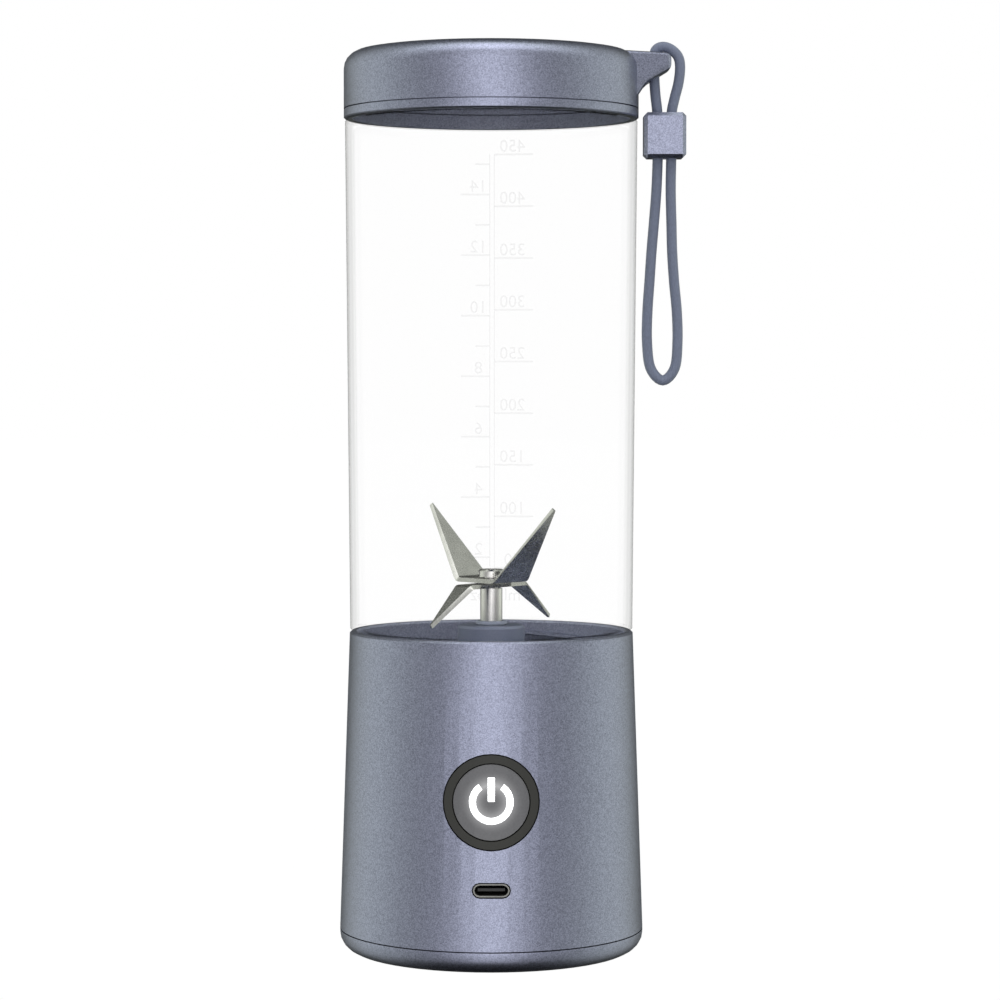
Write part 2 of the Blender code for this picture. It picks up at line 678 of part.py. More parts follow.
def make_foot_pad(looks, body):
    turned("foot_pad", (
        (0.0, 0.0), (FOOT_RADIUS, 0.0), (FOOT_RADIUS, FOOT_DEPTH), (0.0, FOOT_DEPTH),
    ), looks["rubber"], body, HIDDEN_ROUND)


def make_cover_screws(looks, body):
    length = STANDOFF_TOP - STANDOFF_ROOF - 2.0 * FIT - screw_seat()
    for number, angle in enumerate(COVER_SCREW_ANGLES, 1):
        place = around(angle, COVER_SCREW_REACH, screw_seat() - FIT)
        screw(f"cover_screw_{number}", place, length, looks["zinc"], body)


def make_motor_deck(looks, body):
    rim = inner_radius(DECK_TOP) - FIT
    deck = turned("motor_deck", (
        (BOSS_BORE, DECK_BOTTOM), (rim, DECK_BOTTOM), (rim, DECK_TOP),
        (BOSS_RADIUS, DECK_TOP, BOSS_ROOT_FILLET), (BOSS_RADIUS, BOSS_TOP, 0.6),
        (SHAFT_RADIUS + 3 * FIT, BOSS_TOP), (SHAFT_RADIUS + 3 * FIT, BOSS_TOP - SEAL_SEAT),
        (BOSS_BORE, BOSS_TOP - SEAL_SEAT),
    ), looks["slate"], body, DECK_ROUND)
    bosses = bmesh.new()
    holes = bmesh.new()
    for angle in BRACKET_SCREW_ANGLES:
        low = around(angle, BRACKET_SCREW_REACH, FLANGE_TOP + FIT)
        middle = around(angle, BRACKET_SCREW_REACH, DECK_BOTTOM + DECK_THICKNESS / 2)
        add_rod(bosses, SCREW_BOSS_RADIUS, low, middle, ROD_ROUND)
        add_rod(holes, SCREW_RADIUS + FIT, low - Vector((0, 0, OVERRUN)), middle, HOLE_ROUND)
    fuse(deck, bosses)
    cut(deck, holes)


def make_bearing_and_seal(looks, body):
    turned("shaft_bearing", (
        (SHAFT_RADIUS + FIT, BEARING_BOTTOM), (BOSS_BORE - FIT, BEARING_BOTTOM, 0.3),
        (BOSS_BORE - FIT, BEARING_TOP), (SHAFT_RADIUS + FIT, BEARING_TOP),
    ), looks["brass"], body)
    turned("shaft_seal", (
        (SHAFT_RADIUS + FIT, BOSS_TOP - SEAL_SEAT + FIT),
        (SHAFT_RADIUS + 2 * FIT, BOSS_TOP - SEAL_SEAT + FIT),
        (SHAFT_RADIUS + 2 * FIT, BOSS_TOP + FIT), (SHAFT_RADIUS + 4 * FIT, BOSS_TOP + FIT),
        (SHAFT_RADIUS + 4 * FIT, BOSS_TOP + SEAL_RISE, 0.3), (SHAFT_RADIUS + FIT, BOSS_TOP + SEAL_RISE),
    ), looks["silicone"], body)


# Motor

def make_motor(looks, body):
    inside = MOTOR_RADIUS - MOTOR_WALL
    turned("motor_can", (
        (MOTOR_SHAFT_RADIUS + FIT, MOTOR_TOP), (MOTOR_RADIUS, MOTOR_TOP, 0.8),
        (MOTOR_RADIUS, MOTOR_BOTTOM), (inside, MOTOR_BOTTOM), (inside, MOTOR_TOP - MOTOR_WALL),
        (MOTOR_SHAFT_RADIUS + FIT, MOTOR_TOP - MOTOR_WALL),
    ), looks["zinc"], body, HIDDEN_ROUND)
    turned("motor_magnet", (
        (inside - FIT - MAGNET_THICKNESS, MOTOR_BOTTOM + MAGNET_SETBACK),
        (inside - FIT, MOTOR_BOTTOM + MAGNET_SETBACK),
        (inside - FIT, MOTOR_TOP - MAGNET_SETBACK),
        (inside - FIT - MAGNET_THICKNESS, MOTOR_TOP - MAGNET_SETBACK),
    ), looks["magnet"], body, HIDDEN_ROUND)
    turned("motor_end_cap", (
        (MOTOR_SHAFT_RADIUS + FIT, END_CAP_BOTTOM), (inside - FIT, END_CAP_BOTTOM),
        (inside - FIT, END_CAP_TOP), (MOTOR_SHAFT_RADIUS + FIT, END_CAP_TOP),
    ), looks["black"], body, HIDDEN_ROUND)
    for side, sign in (("left", -1.0), ("right", 1.0)):
        middle = sign * MOTOR_RADIUS / 2.0
        block(
            f"motor_terminal_{side}",
            (middle - TERMINAL_HALF_WIDTH, -TERMINAL_HALF_THICKNESS, TERMINAL_BOTTOM),
            (middle + TERMINAL_HALF_WIDTH, TERMINAL_HALF_THICKNESS, END_CAP_BOTTOM - FIT),
            looks["brass"], body,
        )


def make_motor_bracket(looks, body):
    sleeve = MOTOR_RADIUS + FIT
    flange = BRACKET_OUTER + BRACKET_FLANGE
    stop = sleeve - BRACKET_STOP
    under = MOTOR_BOTTOM - FIT
    bottom = under - BRACKET_STOP_THICKNESS
    bracket = turned("motor_bracket", (
        (stop, under), (sleeve, under), (sleeve, FLANGE_TOP), (flange, FLANGE_TOP),
        (flange, FLANGE_BOTTOM), (BRACKET_OUTER, FLANGE_BOTTOM), (BRACKET_OUTER, bottom),
        (stop, bottom),
    ), looks["black"], body, HIDDEN_ROUND)
    holes = bmesh.new()
    for angle in BRACKET_SCREW_ANGLES:
        low = around(angle, BRACKET_SCREW_REACH, FLANGE_BOTTOM - OVERRUN)
        high = around(angle, BRACKET_SCREW_REACH, FLANGE_TOP + OVERRUN)
        add_rod(holes, SCREW_RADIUS + FIT, low, high, HOLE_ROUND)
    cut(bracket, holes)
    length = DECK_BOTTOM + DECK_THICKNESS / 2 - FLANGE_BOTTOM
    for number, angle in enumerate(BRACKET_SCREW_ANGLES, 1):
        place = around(angle, BRACKET_SCREW_REACH, FLANGE_BOTTOM - FIT)
        screw(f"bracket_screw_{number}", place, length, looks["zinc"], body)


# Electronics

def make_battery_tray(looks, body):
    wide = inner_radius(LIP_HEIGHT) - LIP_WALL - 3 * FIT
    tray = turned("battery_tray", (
        (0.0, TRAY_BOTTOM), (wide, TRAY_BOTTOM), (wide, TRAY_TOP), (0.0, TRAY_TOP),
    ), looks["black"], body, HIDDEN_ROUND)
    holes = bmesh.new()
    for sign in (-1.0, 1.0):
        low = (sign * CELL_REACH, 0.0, TRAY_TOP - CELL_POCKET)
        high = (sign * CELL_REACH, 0.0, TRAY_TOP + OVERRUN)
        add_rod(holes, CELL_RADIUS + FIT, low, high, CELL_ROUND)
    for angle in COVER_SCREW_ANGLES:
        low = around(angle, COVER_SCREW_REACH, TRAY_BOTTOM - OVERRUN)
        high = around(angle, COVER_SCREW_REACH, TRAY_TOP + OVERRUN)
        add_rod(holes, SCREW_RADIUS + FIT, low, high, HOLE_ROUND)
    cut(tray, holes)


def make_cells(looks, body):
    for side, sign in (("left", -1.0), ("right", 1.0)):
        bm = bmesh.new()
        add_turned(bm, (
            (0.0, CELL_BOTTOM), (CELL_RADIUS, CELL_BOTTOM), (CELL_RADIUS, CELL_TOP),
            (0.0, CELL_TOP),
        ), CELL_ROUND)
        bmesh.ops.translate(bm, verts=bm.verts, vec=(sign * CELL_REACH, 0.0, 0.0))
        finish(f"battery_cell_{side}", bm, looks["cell"], body)
        block(
            f"cell_tab_{side}",
            (sign * CELL_REACH - TAB_HALF_WIDTH, -TAB_HALF_LENGTH, TAB_TOP - TAB_THICKNESS),
            (sign * CELL_REACH + TAB_HALF_WIDTH, TAB_HALF_LENGTH, TAB_TOP), looks["zinc"], body,
        )
    turned("battery_clamp", (
        (BRACKET_OUTER + FIT, CLAMP_BOTTOM), (inner_radius(CLAMP_TOP) - FIT, CLAMP_BOTTOM),
        (inner_radius(CLAMP_TOP) - FIT, CLAMP_TOP), (BRACKET_OUTER + FIT, CLAMP_TOP),
    ), looks["black"], body, HIDDEN_ROUND)


def make_board(looks, body):
    half = BOARD_WIDTH / 2.0
    block(
        "main_board", (-half, BOARD_FRONT, TRAY_TOP + FIT), (half, BOARD_BACK, CLAMP_BOTTOM - FIT),
        looks["board"], body,
    )
    chip = (CHIP_SIZE, CHIP_THICKNESS, CHIP_SIZE)
    on_board("charge_chip", CHIP_CENTRE, chip, looks["black"], body)
    coil = turned_along_y((
        (0.0, -COIL_THICKNESS), (COIL_RADIUS, -COIL_THICKNESS, 0.5), (COIL_RADIUS, 0.0), (0.0, 0.0),
    ), (COIL_CENTRE[0], BOARD_MOUNT, COIL_CENTRE[1]), ROD_ROUND)
    finish("charge_coil", coil, looks["magnet"], body)
    for side, sign in (("left", -1.0), ("right", 1.0)):
        place = (sign * LED_REACH, BUTTON_HEIGHT)
        on_board(f"backlight_led_{side}", place, LED_SIZE, looks["silicone"], body)


def on_board(name, centre, size, surface, body):
    """A block that stands on the front of the board, round a place in X and Z."""
    block(
        name, (centre[0] - size[0] / 2, BOARD_MOUNT - size[1], centre[1] - size[2] / 2),
        (centre[0] + size[0] / 2, BOARD_MOUNT, centre[1] + size[2] / 2), surface, body,
    )


def make_switch(looks, body):
    half = SWITCH_SIZE / 2.0
    front = BOARD_MOUNT - SWITCH_DEPTH
    switch = block(
        "switch_body", (-half, front, BUTTON_HEIGHT - half),
        (half, BOARD_MOUNT, BUTTON_HEIGHT + half), looks["black"], body,
    )
    bore = bmesh.new()
    add_rod(
        bore, SWITCH_BORE, (0, front - OVERRUN, BUTTON_HEIGHT), (0, switch_floor(), BUTTON_HEIGHT),
        ROD_ROUND,
    )
    cut(switch, bore)


def switch_floor():
    return BOARD_MOUNT - SWITCH_FLOOR


def make_port(looks, body):
    back = BOARD_MOUNT
    mouth = -base_radius(PORT_HEIGHT) + PORT_SINK
    bm = bmesh.new()
    add_prism(bm, pill(PORT_WIDTH, PORT_TALL), back - mouth, facing_front(PORT_HEIGHT, mouth))
    shell = finish("port_shell", bm, looks["zinc"], body)
    room = bmesh.new()
    inner = (PORT_WIDTH - 2 * PORT_WALL, PORT_TALL - 2 * PORT_WALL)
    depth = back - mouth + 2.0 * OVERRUN
    add_prism(room, pill(*inner), depth, facing_front(PORT_HEIGHT, mouth - OVERRUN))
    cut(shell, room)
    core = bmesh.new()
    plug = (inner[0] - 2.0 * PORT_PLAY, inner[1] - 2.0 * PORT_PLAY)
    add_prism(core, pill(*plug), PORT_BASE, facing_front(PORT_HEIGHT, back - PORT_BASE))
    insulator = finish("port_insulator", core, looks["black"], body)
    tongue = bmesh.new()
    add_block(
        tongue, (-TONGUE_WIDTH / 2, mouth + TONGUE_SINK, PORT_HEIGHT - TONGUE_THICKNESS / 2),
        (TONGUE_WIDTH / 2, back - PORT_BASE / 2, PORT_HEIGHT + TONGUE_THICKNESS / 2),
    )
    fuse(insulator, tongue)


def wire(name, route, surface, body):
    """A thin insulated wire along a smooth path."""
    tube(name, route, WIRE_RADIUS, CORD_STEPS, surface, body)


def make_wires(looks, body):
    board = BOARD_BACK + WIRE_RADIUS + WIRE_PRESS
    foot = TERMINAL_BOTTOM - FIT - WIRE_RADIUS
    for side, sign, surface in (("left", -1.0, "black"), ("right", 1.0, "red")):
        middle = sign * MOTOR_RADIUS / 2.0
        wire(f"motor_lead_{side}", (
            (middle, 0.0, foot), (middle, -6.0, foot - 1.0), (sign * 8.0, -14.0, foot - 2.0),
            (sign * 9.0, -20.0, foot - 3.0), (sign * 9.0, board, foot - 5.0),
        ), looks[surface], body)
        height = TAB_TOP + FIT + WIRE_RADIUS - WIRE_PRESS
        wire(f"battery_lead_{side}", (
            (sign * CELL_REACH, -TAB_HALF_LENGTH - FIT - WIRE_RADIUS, height),
            (sign * (CELL_REACH - 3.0), -11.0, height), (sign * 17.0, -17.0, height - 0.6),
            (sign * 13.0, -21.5, height - 2.5), (sign * 12.0, board, height - 6.0),
        ), looks[surface], body)


# Button

def skin(sink):
    """A solid the shape of the base's outside, sunk by a depth, that trims what must lie flush."""
    bm = bmesh.new()
    low = BUTTON_HEIGHT - 2.0 * BEZEL_RADIUS
    high = BUTTON_HEIGHT + 2.0 * BEZEL_RADIUS
    add_turned(bm, (
        (0.0, low), (base_radius(low) - sink, low), (base_radius(high) - sink, high), (0.0, high),
    ), ROUND)
    return bm


def make_bezel(looks, body):
    inner = BEZEL_RADIUS - BEZEL_WIDTH
    bm = turned_along_y((
        (inner, -FRONT_STOCK), (BEZEL_RADIUS, -FRONT_STOCK), (BEZEL_RADIUS, BEZEL_FLANGE_FRONT),
        (BEZEL_FLANGE_RADIUS, BEZEL_FLANGE_FRONT), (BEZEL_FLANGE_RADIUS, BEZEL_FLANGE_BACK),
        (inner - BEZEL_LIP_WIDTH, BEZEL_FLANGE_BACK), (inner - BEZEL_LIP_WIDTH, BEZEL_LIP_FRONT),
        (inner, BEZEL_LIP_FRONT),
    ), (0.0, BUTTON_FACE, BUTTON_HEIGHT), BUTTON_ROUND)
    bezel = finish("button_bezel", bm, looks["dark"], body)
    keep_inside(bezel, skin(BEZEL_SINK))


def symbol_outline(grow):
    """The open ring and the bar of the power symbol, as two outlines around the middle."""
    inner = SYMBOL_RADIUS - SYMBOL_STROKE / 2 - grow
    outer = SYMBOL_RADIUS + SYMBOL_STROKE / 2 + grow
    start = 90.0 + SYMBOL_OPENING - math.degrees(grow / SYMBOL_RADIUS)
    sweep = 360.0 - 2.0 * (start - 90.0)
    turns = [start + sweep * step / SYMBOL_STEPS for step in range(SYMBOL_STEPS + 1)]
    ring = [around(turn, outer, 0.0) for turn in turns]
    ring += [around(turn, inner, 0.0) for turn in reversed(turns)]
    half = SYMBOL_STROKE / 2 + grow
    low = SYMBOL_BAR_LOW - grow
    high = SYMBOL_RADIUS + SYMBOL_BAR_RISE + grow
    bar = outline(((-half, low), (half, low), (half, high), (-half, high)))
    return ring, bar


def add_symbol(bm, grow, front, back):
    for points in symbol_outline(grow):
        add_prism(bm, points, back - front, facing_front(BUTTON_HEIGHT, front))


def make_button(looks, body):
    front = BUTTON_FACE - FRONT_STOCK
    plate_back = BUTTON_FACE + CAP_PLATE_BACK
    skirt = CAP_RADIUS - CAP_SKIRT_WALL
    shell = turned_along_y((
        (0.0, -FRONT_STOCK), (CAP_RADIUS, -FRONT_STOCK), (CAP_RADIUS, CAP_SKIRT_BACK),
        (skirt, CAP_SKIRT_BACK), (skirt, CAP_PLATE_BACK), (0.0, CAP_PLATE_BACK),
    ), (0.0, BUTTON_FACE, BUTTON_HEIGHT), BUTTON_ROUND)
    cap = finish("button_cap", shell, looks["cap"], body)
    keep_inside(cap, skin(CAP_SINK))
    window = bmesh.new()
    add_symbol(window, SYMBOL_GAP, front, BUTTON_FACE + CAP_SKIRT_BACK)
    cut(cap, window)
    make_light_guide(front, plate_back + FIT, skirt - FIT, looks["light"], body)
    plunger = bmesh.new()
    add_rod(
        plunger, SWITCH_BORE - FIT, (0, plunger_front(), BUTTON_HEIGHT),
        (0, switch_floor() - BUTTON_TRAVEL - FIT, BUTTON_HEIGHT), ROD_ROUND,
    )
    finish("switch_plunger", plunger, looks["zinc"], body)


def make_light_guide(front, face, wide, surface, body):
    """A disc behind the cap that carries the symbol forward and presses on the plunger."""
    back = face + GUIDE_THICKNESS
    disc = turned_along_y((
        (0.0, face), (wide, face), (wide, back), (GUIDE_STEM_RADIUS, back),
        (GUIDE_STEM_RADIUS, plunger_front() - FIT), (0.0, plunger_front() - FIT),
    ), (0.0, 0.0, BUTTON_HEIGHT), ROD_ROUND)
    guide = finish("button_light_guide", disc, surface, body)
    mark = bmesh.new()
    add_symbol(mark, 0.0, front, face + GUIDE_THICKNESS / 2)
    fuse(guide, mark)
    keep_inside(guide, skin(CAP_SINK))


def plunger_front():
    return BOARD_MOUNT - SWITCH_DEPTH - PLUNGER_REACH


# Blades

def make_blade(name, plate, heading, half_width, bend, tip_radius, tip_rise, looks, body):
    """A strip of steel with both ends bent and cut to points."""
    tip = plate + tip_rise
    line = outline((
        (-tip_radius, tip), (-bend, plate, BLADE_BEND), (bend, plate, BLADE_BEND),
        (tip_radius, tip),
    ))
    bm = bmesh.new()
    rings = []
    for index, point in enumerate(line):
        before = line[max(index - 1, 0)]
        after = line[min(index + 1, len(line) - 1)]
        along = (after - before).normalized()
        lift = Vector((-along.y, along.x)) * BLADE_THICKNESS / 2
        beyond = max(0.0, abs(point.x) - bend) / (tip_radius - bend)
        width = half_width + (BLADE_POINT - half_width) * beyond
        ground = max(width - BLADE_GRIND, BLADE_EDGE)
        low = point - lift
        high = point + lift
        rings.append([
            bm.verts.new((low.x, -width, low.y)), bm.verts.new((low.x, width, low.y)),
            bm.verts.new((high.x, ground, high.y)), bm.verts.new((high.x, -ground, high.y)),
        ])
    for one, other in zip(rings, rings[1:]):
        for side in range(4):
            after = (side + 1) % 4
            bm.faces.new((one[side], one[after], other[after], other[side]))
    bm.faces.new(reversed(rings[0]))
    bm.faces.new(rings[-1])
    bmesh.ops.rotate(bm, verts=bm.verts, matrix=Matrix.Rotation(math.radians(heading), 3, "Z"))
    blade = finish(name, bm, looks["steel"], body)
    hole = bmesh.new()
    reach = BLADE_THICKNESS / 2 + OVERRUN
    add_rod(hole, SHAFT_NECK_RADIUS + FIT, (0, 0, plate - reach), (0, 0, plate + reach), ROD_ROUND)
    cut(blade, hole)


def make_rotor(looks, body):
    magnet = MOTOR_RADIUS - MOTOR_WALL - FIT - MAGNET_THICKNESS
    armature = magnet - AIR_GAP
    bore = MOTOR_SHAFT_RADIUS + FIT
    low = END_CAP_TOP + 2.0 * FIT
    wide = MOTOR_BOTTOM + ARMATURE_SETBACK
    high = MOTOR_TOP - ARMATURE_SETBACK
    turned("motor_armature", (
        (bore, low), (COMMUTATOR_RADIUS, low), (COMMUTATOR_RADIUS, wide), (armature, wide),
        (armature, high), (bore, high),
    ), looks["copper"], body, HIDDEN_ROUND)
    shaft = bmesh.new()
    add_rod(
        shaft, MOTOR_SHAFT_RADIUS, (0, 0, END_CAP_BOTTOM + FIT), (0, 0, COUPLING_SPLIT - FIT),
        ROD_ROUND,
    )
    finish("motor_shaft", shaft, looks["steel"], body)
    coupling = BOSS_BORE - 2 * FIT
    top = BEARING_BOTTOM - FIT
    turned("shaft_coupling", (
        (bore, MOTOR_TOP + FIT), (coupling, MOTOR_TOP + FIT), (coupling, top),
        (SHAFT_RADIUS + FIT, top), (SHAFT_RADIUS + FIT, COUPLING_SPLIT), (bore, COUPLING_SPLIT),
    ), looks["zinc"], body)
    nut_bottom = UPPER_PLATE + BLADE_THICKNESS / 2 + FIT
    turned("blade_shaft", (
        (0.0, COUPLING_SPLIT + FIT), (SHAFT_RADIUS, COUPLING_SPLIT + FIT),
        (SHAFT_RADIUS, SHAFT_SHOULDER), (SHAFT_NECK_RADIUS, SHAFT_SHOULDER),
        (SHAFT_NECK_RADIUS, nut_bottom + NUT_HEIGHT - NUT_RECESS),
        (0.0, nut_bottom + NUT_HEIGHT - NUT_RECESS),
    ), looks["steel"], body)
    turned("blade_nut", (
        (SHAFT_NECK_RADIUS + FIT, nut_bottom), (NUT_RADIUS, nut_bottom),
        (NUT_RADIUS, nut_bottom + NUT_HEIGHT, 0.4),
        (SHAFT_NECK_RADIUS + FIT, nut_bottom + NUT_HEIGHT),
    ), looks["steel"], body)
    make_blade(
        "lower_blade", LOWER_PLATE, LOWER_HEADING, LOWER_HALF_WIDTH, LOWER_BEND_RADIUS,
        LOWER_TIP_RADIUS, -LOWER_TIP_DROP, looks, body,
    )
    make_blade(
        "upper_blade", UPPER_PLATE, UPPER_HEADING, UPPER_HALF_WIDTH, UPPER_BEND_RADIUS,
        UPPER_TIP_RADIUS, UPPER_TIP_RISE, looks, body,
    )


# Jar

def make_jar(looks, body):
    lower_bore = LOWER_NECK_RADIUS - JAR_WALL
    upper_bore = UPPER_NECK_RADIUS - JAR_WALL
    jar = turned("jar", (
        (LOWER_NECK_RADIUS, LOWER_NECK_BOTTOM), (LOWER_NECK_RADIUS, JAR_FOOT),
        (JAR_FOOT_RADIUS, JAR_FOOT, JAR_EDGE), (JAR_TOP_RADIUS, JAR_TOP, JAR_EDGE),
        (UPPER_NECK_RADIUS, JAR_TOP), (UPPER_NECK_RADIUS, UPPER_NECK_TOP, JAR_EDGE),
        (upper_bore, UPPER_NECK_TOP), (upper_bore, JAR_TOP - SHOULDER_THICKNESS + 0.2),
        (JAR_TOP_RADIUS - JAR_WALL, JAR_TOP - SHOULDER_THICKNESS - 0.9, JAR_INNER_EDGE),
        (JAR_FOOT_RADIUS - JAR_WALL, JAR_FOOT + 0.8, JAR_INNER_EDGE),
        (lower_bore, JAR_FOOT - SHOULDER_THICKNESS), (lower_bore, LOWER_NECK_BOTTOM),
    ), looks["clear"], body, ROUND)
    ridges = bmesh.new()
    add_ridges(
        ridges, LOWER_NECK_RADIUS, LOWER_NECK_RADIUS + THREAD_HEIGHT,
        collar_thread() - THREAD_OFFSET,
    )
    add_ridges(
        ridges, UPPER_NECK_RADIUS, UPPER_NECK_RADIUS + THREAD_HEIGHT,
        skirt_thread() + THREAD_OFFSET,
    )
    fuse(jar, ridges)


def make_jar_seal(looks, body):
    top = LOWER_NECK_BOTTOM - FIT / 2
    bore = LOWER_NECK_RADIUS - JAR_WALL
    turned("jar_seal", (
        (bore, top - SEAL_HEIGHT), (LOWER_NECK_RADIUS, top - SEAL_HEIGHT, 0.3),
        (LOWER_NECK_RADIUS, top), (bore, top),
    ), looks["silicone"], body, HIDDEN_ROUND)


# Lid

def skirt_thread():
    """Height at which the ridges inside the lid start."""
    return LID_SHELL_BOTTOM + TRIM_LIP + FIT + THREAD_ROOT


def make_lid_shell(looks, body):
    rebate = SKIRT_RADIUS + LID_WALL / 2
    shell = turned("lid_shell", (
        (0.0, LID_TOP), (LID_RADIUS, LID_TOP, LID_FILLET), (LID_RADIUS, LID_SHELL_BOTTOM),
        (rebate, LID_SHELL_BOTTOM), (rebate, LID_SHELL_BOTTOM + TRIM_LIP + FIT),
        (SKIRT_RADIUS, LID_SHELL_BOTTOM + TRIM_LIP + FIT),
        (SKIRT_RADIUS, LID_CEILING, LID_FILLET - LID_TOP_WALL), (0.0, LID_CEILING),
    ), looks["paint"], body, ROUND)
    added = bmesh.new()
    add_ridges(added, SKIRT_RADIUS, UPPER_NECK_RADIUS + THREAD_PLAY, skirt_thread())
    add_lug(added)
    fuse(shell, added)
    hole = bmesh.new()
    reach = LID_RADIUS + LUG_HOLE_REACH
    add_rod(
        hole, LUG_HOLE_RADIUS, (reach, 0, LID_BOTTOM), (reach, 0, LID_TOP + OVERRUN), CELL_ROUND,
    )
    cut(shell, hole)


def add_lug(bm):
    """The strap lug: an arm drawn from the side that widens evenly towards the lid."""
    end = LID_RADIUS + LUG_REACH
    side = outline((
        (LID_RADIUS - 4.6, LID_TOP - 0.35), (end, LID_TOP - 0.6, 1.3), (end, LID_TOP - 4.4, 1.5),
        (LID_RADIUS + 1.6, LID_TOP - 8.2, 3.0), (LID_RADIUS - 1.3, LID_TOP - 12.6),
        (LID_RADIUS - 1.5, LID_TOP - 4.8), (LID_RADIUS - 3.3, LID_TOP - 1.6),
    ))
    arm = bmesh.new()
    add_prism(arm, side, LUG_DEPTH, facing_front(0.0, -LUG_DEPTH / 2))
    long_edges = [
        edge for edge in arm.edges
        if any(vert.co.x > LID_RADIUS + 0.5 for vert in edge.verts)
        and abs(edge.verts[0].co.y - edge.verts[1].co.y) < 1e-6
    ]
    for vert in arm.verts:
        vert.co.y *= 1.0 + LUG_TAPER * (end - vert.co.x) / (LUG_DEPTH / 2)
    bmesh.ops.bevel(arm, geom=long_edges, offset=LUG_EDGE, segments=2, profile=0.5, affect="EDGES")
    join(bm, arm)


def make_lid_parts(looks, body):
    rebate = SKIRT_RADIUS + LID_WALL / 2
    lip_top = LID_SHELL_BOTTOM + TRIM_LIP
    turned("lid_trim_ring", (
        (SKIRT_RADIUS, LID_BOTTOM), (LID_RADIUS, LID_BOTTOM, 0.3), (LID_RADIUS, TRIM_TOP),
        (rebate - FIT, TRIM_TOP), (rebate - FIT, lip_top), (SKIRT_RADIUS, lip_top),
    ), looks["paint"], body, ROUND)
    wide = SKIRT_RADIUS - (LID_FILLET - LID_TOP_WALL) - FIT
    turned("lid_liner", (
        (0.0, liner_bottom()), (wide, liner_bottom()), (wide, LID_CEILING - FIT),
        (0.0, LID_CEILING - FIT),
    ), looks["slate"], body, HIDDEN_ROUND)


def liner_bottom():
    return LID_CEILING - FIT - LINER_THICKNESS


def make_lid_gasket(looks, body):
    bore = UPPER_NECK_RADIUS - JAR_WALL
    turned("lid_gasket", (
        (bore, UPPER_NECK_TOP + FIT), (UPPER_NECK_RADIUS, UPPER_NECK_TOP + FIT),
        (UPPER_NECK_RADIUS, liner_bottom() - FIT), (bore, liner_bottom() - FIT),
    ), looks["silicone"], body, HIDDEN_ROUND)


# Strap

def smooth_path(route, steps):
    """Points along a curve that runs through every point of a route."""
    points = [Vector(point) for point in route]
    ends = [2.0 * points[0] - points[1]] + points + [2.0 * points[-1] - points[-2]]
    path = []
    for first, start, end, last in zip(ends, ends[1:], ends[2:], ends[3:]):
        for step in range(steps):
            share = step / steps
            lean = (end - first) * 0.5
            next_lean = (last - start) * 0.5
            square = share * share
            cube = square * share
            path.append(
                start * (2 * cube - 3 * square + 1) + lean * (cube - 2 * square + share)
                + end * (3 * square - 2 * cube) + next_lean * (cube - square)
            )
    path.append(points[-1])
    return path


def tube(name, route, radius, steps, surface, body):
    """A round cord along a route, as a filled curve."""
    curve = bpy.data.curves.new(name, "CURVE")
    curve.dimensions = "3D"
    curve.bevel_depth = radius * MM
    curve.bevel_resolution = 2
    curve.use_fill_caps = True
    path = smooth_path(route, steps)
    spline = curve.splines.new("POLY")
    spline.points.add(len(path) - 1)
    for point, place in zip(spline.points, path):
        point.co = (*((place - Vector(body["place"])) * MM), 1.0)
    curve.materials.append(surface)
    cord = bpy.data.objects.new(name, curve)
    bpy.context.collection.objects.link(cord)
    cord.parent = body


def make_slider(looks, body):
    low = [middle - size / 2.0 for middle, size in zip(SLIDER_CENTRE, SLIDER_SIZE)]
    high = [middle + size / 2.0 for middle, size in zip(SLIDER_CENTRE, SLIDER_SIZE)]
    slider = block("strap_slider", low, high, looks["paint"], body, SLIDER_CHAMFER)
    bore = CORD_RADIUS + FIT
    slot = bmesh.new()
    add_prism(
        slot, pill(STRAND_SPACING + 2 * bore, 2 * bore), high[2] - low[2] + 2.0 * OVERRUN,
        Matrix.Translation((SLIDER_CENTRE[0], SLIDER_CENTRE[1], low[2] - OVERRUN)),
    )
    cut(slider, slot)


def main():
    clear_scene()
    looks = make_materials()
    base = home("base_body", (0.0, 0.0, 0.0))
    button = home("button_body", (0.0, BUTTON_FACE, BUTTON_HEIGHT), base)
    rotor = home("blade_body", (0.0, 0.0, DECK_TOP), base)
    seal = home("jar_seal_body", (0.0, 0.0, LOWER_NECK_BOTTOM), base)
    jar = home("jar_body", (0.0, 0.0, JAR_FOOT), seal)
    gasket = home("lid_gasket_body", (0.0, 0.0, UPPER_NECK_TOP), jar)
    lid = home("lid_body", (0.0, 0.0, LID_BOTTOM), gasket)
    strap = home("strap_body", STRAP_PIVOT, lid)
    slider = home("slider_body", SLIDER_CENTRE, strap)
    make_base_shell(looks, base)
    make_bottom_cover(looks, base)
    make_foot_pad(looks, base)
    make_cover_screws(looks, base)
    make_motor_deck(looks, base)
    make_bearing_and_seal(looks, base)
    make_motor(looks, base)
    make_motor_bracket(looks, base)
    make_battery_tray(looks, base)
    make_cells(looks, base)
    make_board(looks, base)
    make_switch(looks, base)
    make_port(looks, base)
    make_wires(looks, base)
    make_bezel(looks, base)
    make_button(looks, button)
    make_rotor(looks, rotor)
    make_jar_seal(looks, seal)
    make_jar(looks, jar)
    make_lid_gasket(looks, gasket)
    make_lid_shell(looks, lid)
    make_lid_parts(looks, lid)
    tube("strap_cord", CORD_ROUTE, CORD_RADIUS, CORD_STEPS, looks["cord"], strap)
    make_slider(looks, slider)


main()
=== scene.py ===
import json
import math

